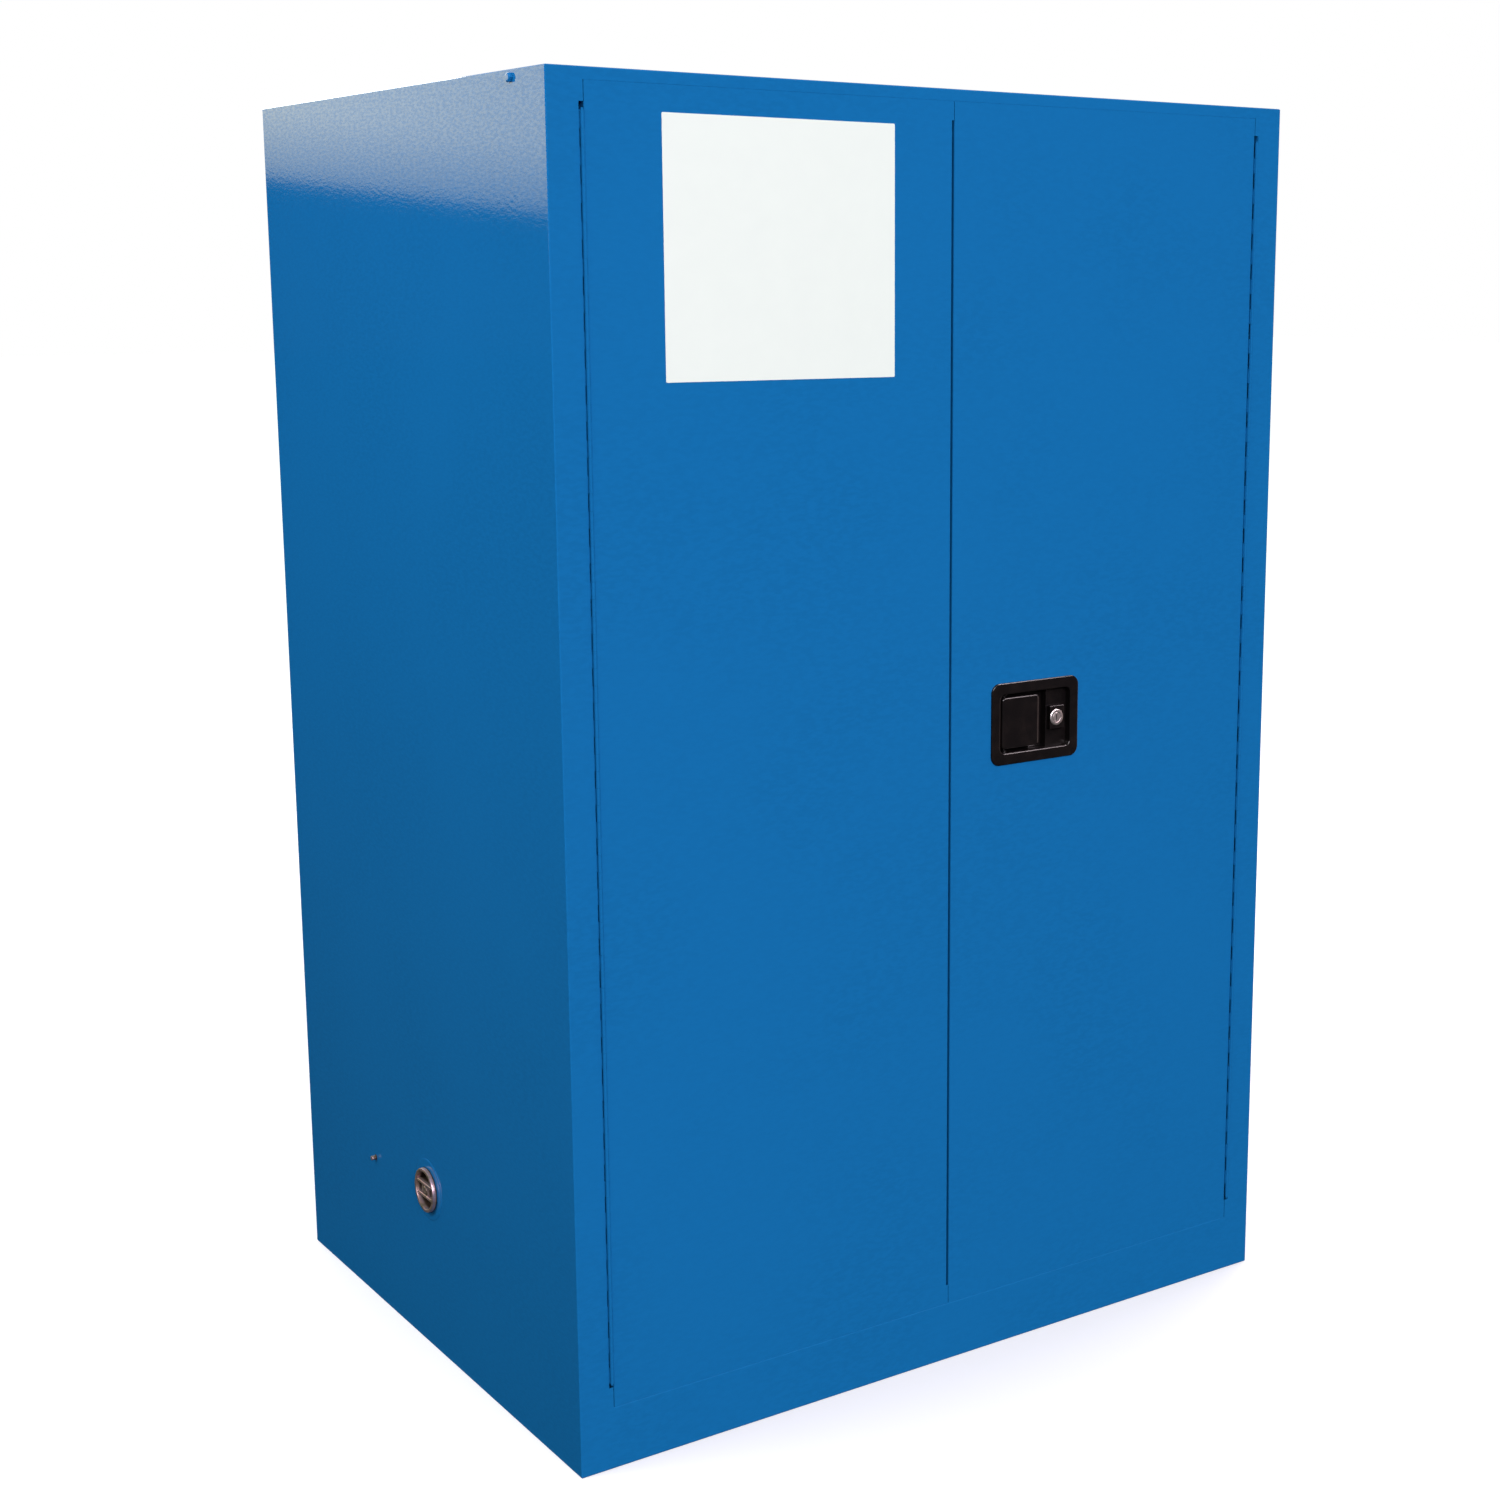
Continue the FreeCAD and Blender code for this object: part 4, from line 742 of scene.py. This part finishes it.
def panel_bolts():
    """Painted hexagon bolts with their washers, one in each side's top corner."""
    low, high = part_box("panel_bolts")
    bm = bmesh.new()
    y, z = (low.y + high.y) / 2, (low.z + high.z) / 2
    for outward, tip in ((-1, low.x), (1, high.x)):
        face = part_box(f"{'left' if outward < 0 else 'right'}_side_panel")[0 if outward < 0 else 1].x
        head = bmesh.ops.create_cone(
            bm, cap_ends=True, segments=6, radius1=BOLT_CORNER, radius2=BOLT_CORNER, depth=abs(tip - face),
            matrix=Matrix.Translation(((tip + face) / 2, y, z)) @ turning_to((outward, 0, 0)))["verts"]
        crown = [e for e in edges_of(head) if all(abs(v.co.x - tip) < SAME for v in e.verts)]
        round_edges(bm, crown, BOLT_CROWN, 4)
        inner, outer = [face + outward * x for x in WASHER_X]
        rod(bm, (inner, y, z), (outer, y, z), WASHER)
    piece(bm, "side_bolts", "cabinet", "blue_coat", ("panel_bolts",))


# Seams over and under the doors

SEAM = 0.4 * MM
BEAD_BEHIND = 0.25 * MM    # the doors' face
BEAD_CLEAR = 0.06 * MM
BEAD_DEPTH = 9 * MM
FOLD = 1.6 * MM            # outside radius of the doors' folds


def seam_beads():
    """Beads on the header and sill that close the seams, and the doors' end folds filled square."""
    low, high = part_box("left_door_skin")
    front = low.y + BEAD_BEHIND
    bm = bmesh.new()
    for bottom, top in ((low.z - 2 * SEAM, low.z - BEAD_CLEAR), (high.z + BEAD_CLEAR, high.z + 2 * SEAM)):
        block(bm, (low.x, front, bottom), (-low.x, front + BEAD_DEPTH, top))
    piece(bm, "seam_beads", "cabinet", "blue_coat")

    for side in ("left", "right"):
        low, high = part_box(f"{side}_door_skin")
        bm = bmesh.new()
        for bottom, top in ((low.z, low.z + FOLD), (high.z - FOLD, high.z)):
            block(bm, (low.x, low.y, bottom), (high.x, low.y + FOLD, top))
        piece(bm, f"{side}_door_edges", f"{side}_door", "blue_coat")


# Label

LABEL_X = (-403 * MM, -87 * MM)
LABEL_Z = (1307 * MM, 1605.5 * MM)
LABEL_THICK = 0.3 * MM
LABEL_CORNER = 1.5 * MM


def label():
    """Bare white label on the left door."""
    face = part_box("left_door_skin")[0].y
    bm = bmesh.new()
    sheet = block(bm, (LABEL_X[0], face - LABEL_THICK, LABEL_Z[0]), (LABEL_X[1], face, LABEL_Z[1]))
    corners = [e for e in edges_of(sheet) if abs(e.verts[0].co.y - e.verts[1].co.y) > LABEL_THICK / 2]
    round_edges(bm, corners, LABEL_CORNER, 4)
    piece(bm, "label", "left_door", "label_vinyl")


# Studio

CAMERA_PLACE = Vector((-1.70089, -2.75205, 1.42493))
CAMERA_YAW = math.radians(35.7432)
CAMERA_PITCH = math.radians(-10.6775)
CAMERA_ROLL = math.radians(0.2111)
FOCAL_PIXELS = 2304.67
PICTURE = 1500
OPTICAL_CENTRE = (931.58, 712.71)
SENSOR = 36.0
SIGHT = 100                # metres


def camera():
    """Level camera, turned by its yaw, tipped by its pitch and rolled a trace."""
    ahead = Vector((math.sin(CAMERA_YAW) * math.cos(CAMERA_PITCH),
                    math.cos(CAMERA_YAW) * math.cos(CAMERA_PITCH),
                    math.sin(CAMERA_PITCH)))
    level = Vector((math.cos(CAMERA_YAW), -math.sin(CAMERA_YAW), 0))
    lens = bpy.data.cameras.new("camera")
    lens.sensor_width = SENSOR
    lens.lens = SENSOR * FOCAL_PIXELS / PICTURE
    lens.shift_x = (PICTURE / 2 - OPTICAL_CENTRE[0]) / PICTURE
    lens.shift_y = (OPTICAL_CENTRE[1] - PICTURE / 2) / PICTURE
    lens.clip_end = SIGHT
    eye = bpy.data.objects.new("camera", lens)
    upright = Matrix((level, level.cross(ahead), -ahead)).transposed()
    eye.matrix_world = (Matrix.Translation(CAMERA_PLACE)
                        @ upright.to_4x4() @ Matrix.Rotation(CAMERA_ROLL, 4, "Z"))
    bpy.context.scene.collection.objects.link(eye)
    bpy.context.scene.camera = eye


def lamp(name, place, aim, width, height, watts, colour=(1.0, 1.0, 1.0), roll=0.0):
    """Soft rectangular lamp, aimed at a point and rolled about its own axis by some degrees."""
    light = bpy.data.lights.new(name, "AREA")
    light.shape = "RECTANGLE"
    light.size = width
    light.size_y = height
    light.energy = watts
    light.color = colour
    obj = bpy.data.objects.new(name, light)
    obj.location = place
    aimed = (Vector(aim) - Vector(place)).to_track_quat("-Z", "Y").to_matrix()
    obj.rotation_euler = (aimed @ Matrix.Rotation(math.radians(roll), 3, "Z")).to_euler()
    bpy.context.scene.collection.objects.link(obj)
    return obj


def seen_directly(finish):
    """1 for what the lens sees, straight or through something clear."""
    lens = finish.node("ShaderNodeLightPath", output="Is Camera Ray")
    clear = finish.node("ShaderNodeLightPath", output="Is Transmission Ray")
    return lens + clear * (1 - lens)


FLOOR_SIZE = 40
FLOOR_PAINT = (0.80, 0.69, 0.77)    # evens out the tint of the air
FLOOR_NEAR = (0.32, 0.32, 0.32)
FLOOR_FAR = (0.62, 0.62, 0.62)
FLOOR_REACH = (1.5, 7.0)            # metres over which near turns to far
FLOOR_UNSEEN = (0.01, 0.01, 0.01)


def ground():
    """Pale floor that keeps the shadow and whitens with distance. Gloss meets none of it."""
    bm = bmesh.new()
    bmesh.ops.create_grid(bm, x_segments=1, y_segments=1, size=FLOOR_SIZE)
    mesh = bpy.data.meshes.new("floor")
    bm.to_mesh(mesh)
    bm.free()
    floor = bpy.data.objects.new("floor", mesh)
    bpy.context.scene.collection.objects.link(floor)
    paint = Finish("floor_paint")
    seen = seen_directly(paint)
    apart = paint.node("ShaderNodeVectorMath", {"operation": "LENGTH"}, {0: paint.place()}, output="Value")
    glow = paint.mix(apart.between(*FLOOR_REACH), FLOOR_NEAR, FLOOR_FAR)
    mesh.materials.append(paint.set(
        Base_Color=paint.mix(seen, FLOOR_UNSEEN, FLOOR_PAINT),
        Emission_Color=paint.mix(seen, (0.0, 0.0, 0.0), glow),
        Emission_Strength=1.0,
        Roughness=1.0,
        Specular_IOR_Level=0.0,
    ))


SKY_FILL = (0.57, 0.76, 0.61)
HORIZON = 0.0808           # height at which the wall behind starts
HORIZON_LEAN = 0.127       # and its rise towards the right
WALL_TINT = (0.98, 0.89, 0.50)
WALL_STOPS = ((0.0, 0.01), (0.0015, 0.8), (0.03, 2.1), (0.05, 2.25), (0.12, 2.5))
WALL_TOP = 0.35
ABOVE_WALL = (0.8, 0.8, 0.8)
BEHIND = (0.6, 0.75)       # how squarely behind a reflection has to look to meet the wall
DIM = (0.01, 0.01, 0.01)
OVERHEAD = (0.35, 0.35, 0.35)
WHITE = (1.0, 1.0, 1.0)


def sky():
    """White to the lens. The gloss meets a bright wall behind, above a sharp, slightly leaning horizon."""
    world = bpy.data.worlds.new("studio")
    bpy.context.scene.world = world
    world.use_nodes = True
    tree = world.node_tree
    air = Finish("air", tree)
    direction = air.node("ShaderNodeTexCoord", output="Generated")
    across, away, height = [air.node("ShaderNodeSeparateXYZ", None, {"Vector": direction}, output=axis)
                            for axis in "XYZ"]
    rise = height - across * HORIZON_LEAN - HORIZON
    stops = [(position, scaled(WALL_TINT, level)) for position, level in WALL_STOPS]
    wall = air.node("ShaderNodeValToRGB", {"stops": stops + [(WALL_TOP, ABOVE_WALL), (1.0, ABOVE_WALL)]},
                    {"Fac": rise})
    room = air.mix(height.between(0.2, 0.8), DIM, OVERHEAD)
    gloss = air.mix(away.between(*BEHIND), room, wall)
    mirrored = air.node("ShaderNodeLightPath", output="Is Glossy Ray")
    unseen = air.mix(mirrored, SKY_FILL, gloss)
    back = tree.nodes["Background"]
    air.put(back.inputs["Color"], air.mix(seen_directly(air), unseen, WHITE))
    air.put(back.inputs["Strength"], 1.0)


LATCH_PLACE = (0.14, -0.43, 0.86)


def studio(fittings):
    """Lamps, floor and air. Two accents light the latch alone."""
    bpy.context.scene.view_settings.view_transform = "Standard"
    ground()
    sky()
    lamp("key", place=(-1.6, -9.6, 4.6), aim=(0, 0, 0.9), width=5.0, height=2.4, watts=815,
         colour=(1.04, 0.97, 1.05))
    side = lamp("left_fill", place=(-2.6, 0.1, 2.3), aim=(-0.545, 0, 1.0), width=1.2, height=1.2, watts=43,
                colour=(0.8, 0.94, 1.0))
    side.visible_glossy = False
    lamp("right_fill", place=(3.6, 0.6, 2.9), aim=(0.5, 0, 1.0), width=1.6, height=1.6, watts=50)
    lamp("back_fill", place=(0.4, 4.4, 2.9), aim=(0, 0.4, 1.0), width=2.0, height=1.6, watts=60)
    strip = lamp("latch_strip", place=(2.29, -2.07, 3.63), aim=LATCH_PLACE, width=0.7, height=3.5, watts=150,
                 colour=(1.0, 0.84, 0.90), roll=-41.7)
    low = lamp("latch_low", place=(2.0, -0.83, 0.46), aim=LATCH_PLACE, width=1.4, height=1.4, watts=5,
               colour=(1.0, 0.72, 0.68))
    latch_only = bpy.data.collections.new("lit_by_latch_lamps")
    for fitting in fittings:
        latch_only.objects.link(fitting)
    for accent in (strip, low):
        accent.light_linking.receiver_collection = latch_only


def main():
    finish_frame()
    for side in ("left", "right"):
        hinge_leaf(side, "frame", "cabinet")
        hinge_leaf(side, "door", f"{side}_door")
    fittings = [pan(), paddle(), *lock()]
    vents()
    earthing_stud()
    panel_bolts()
    seam_beads()
    label()
    camera()
    studio(fittings)


main()
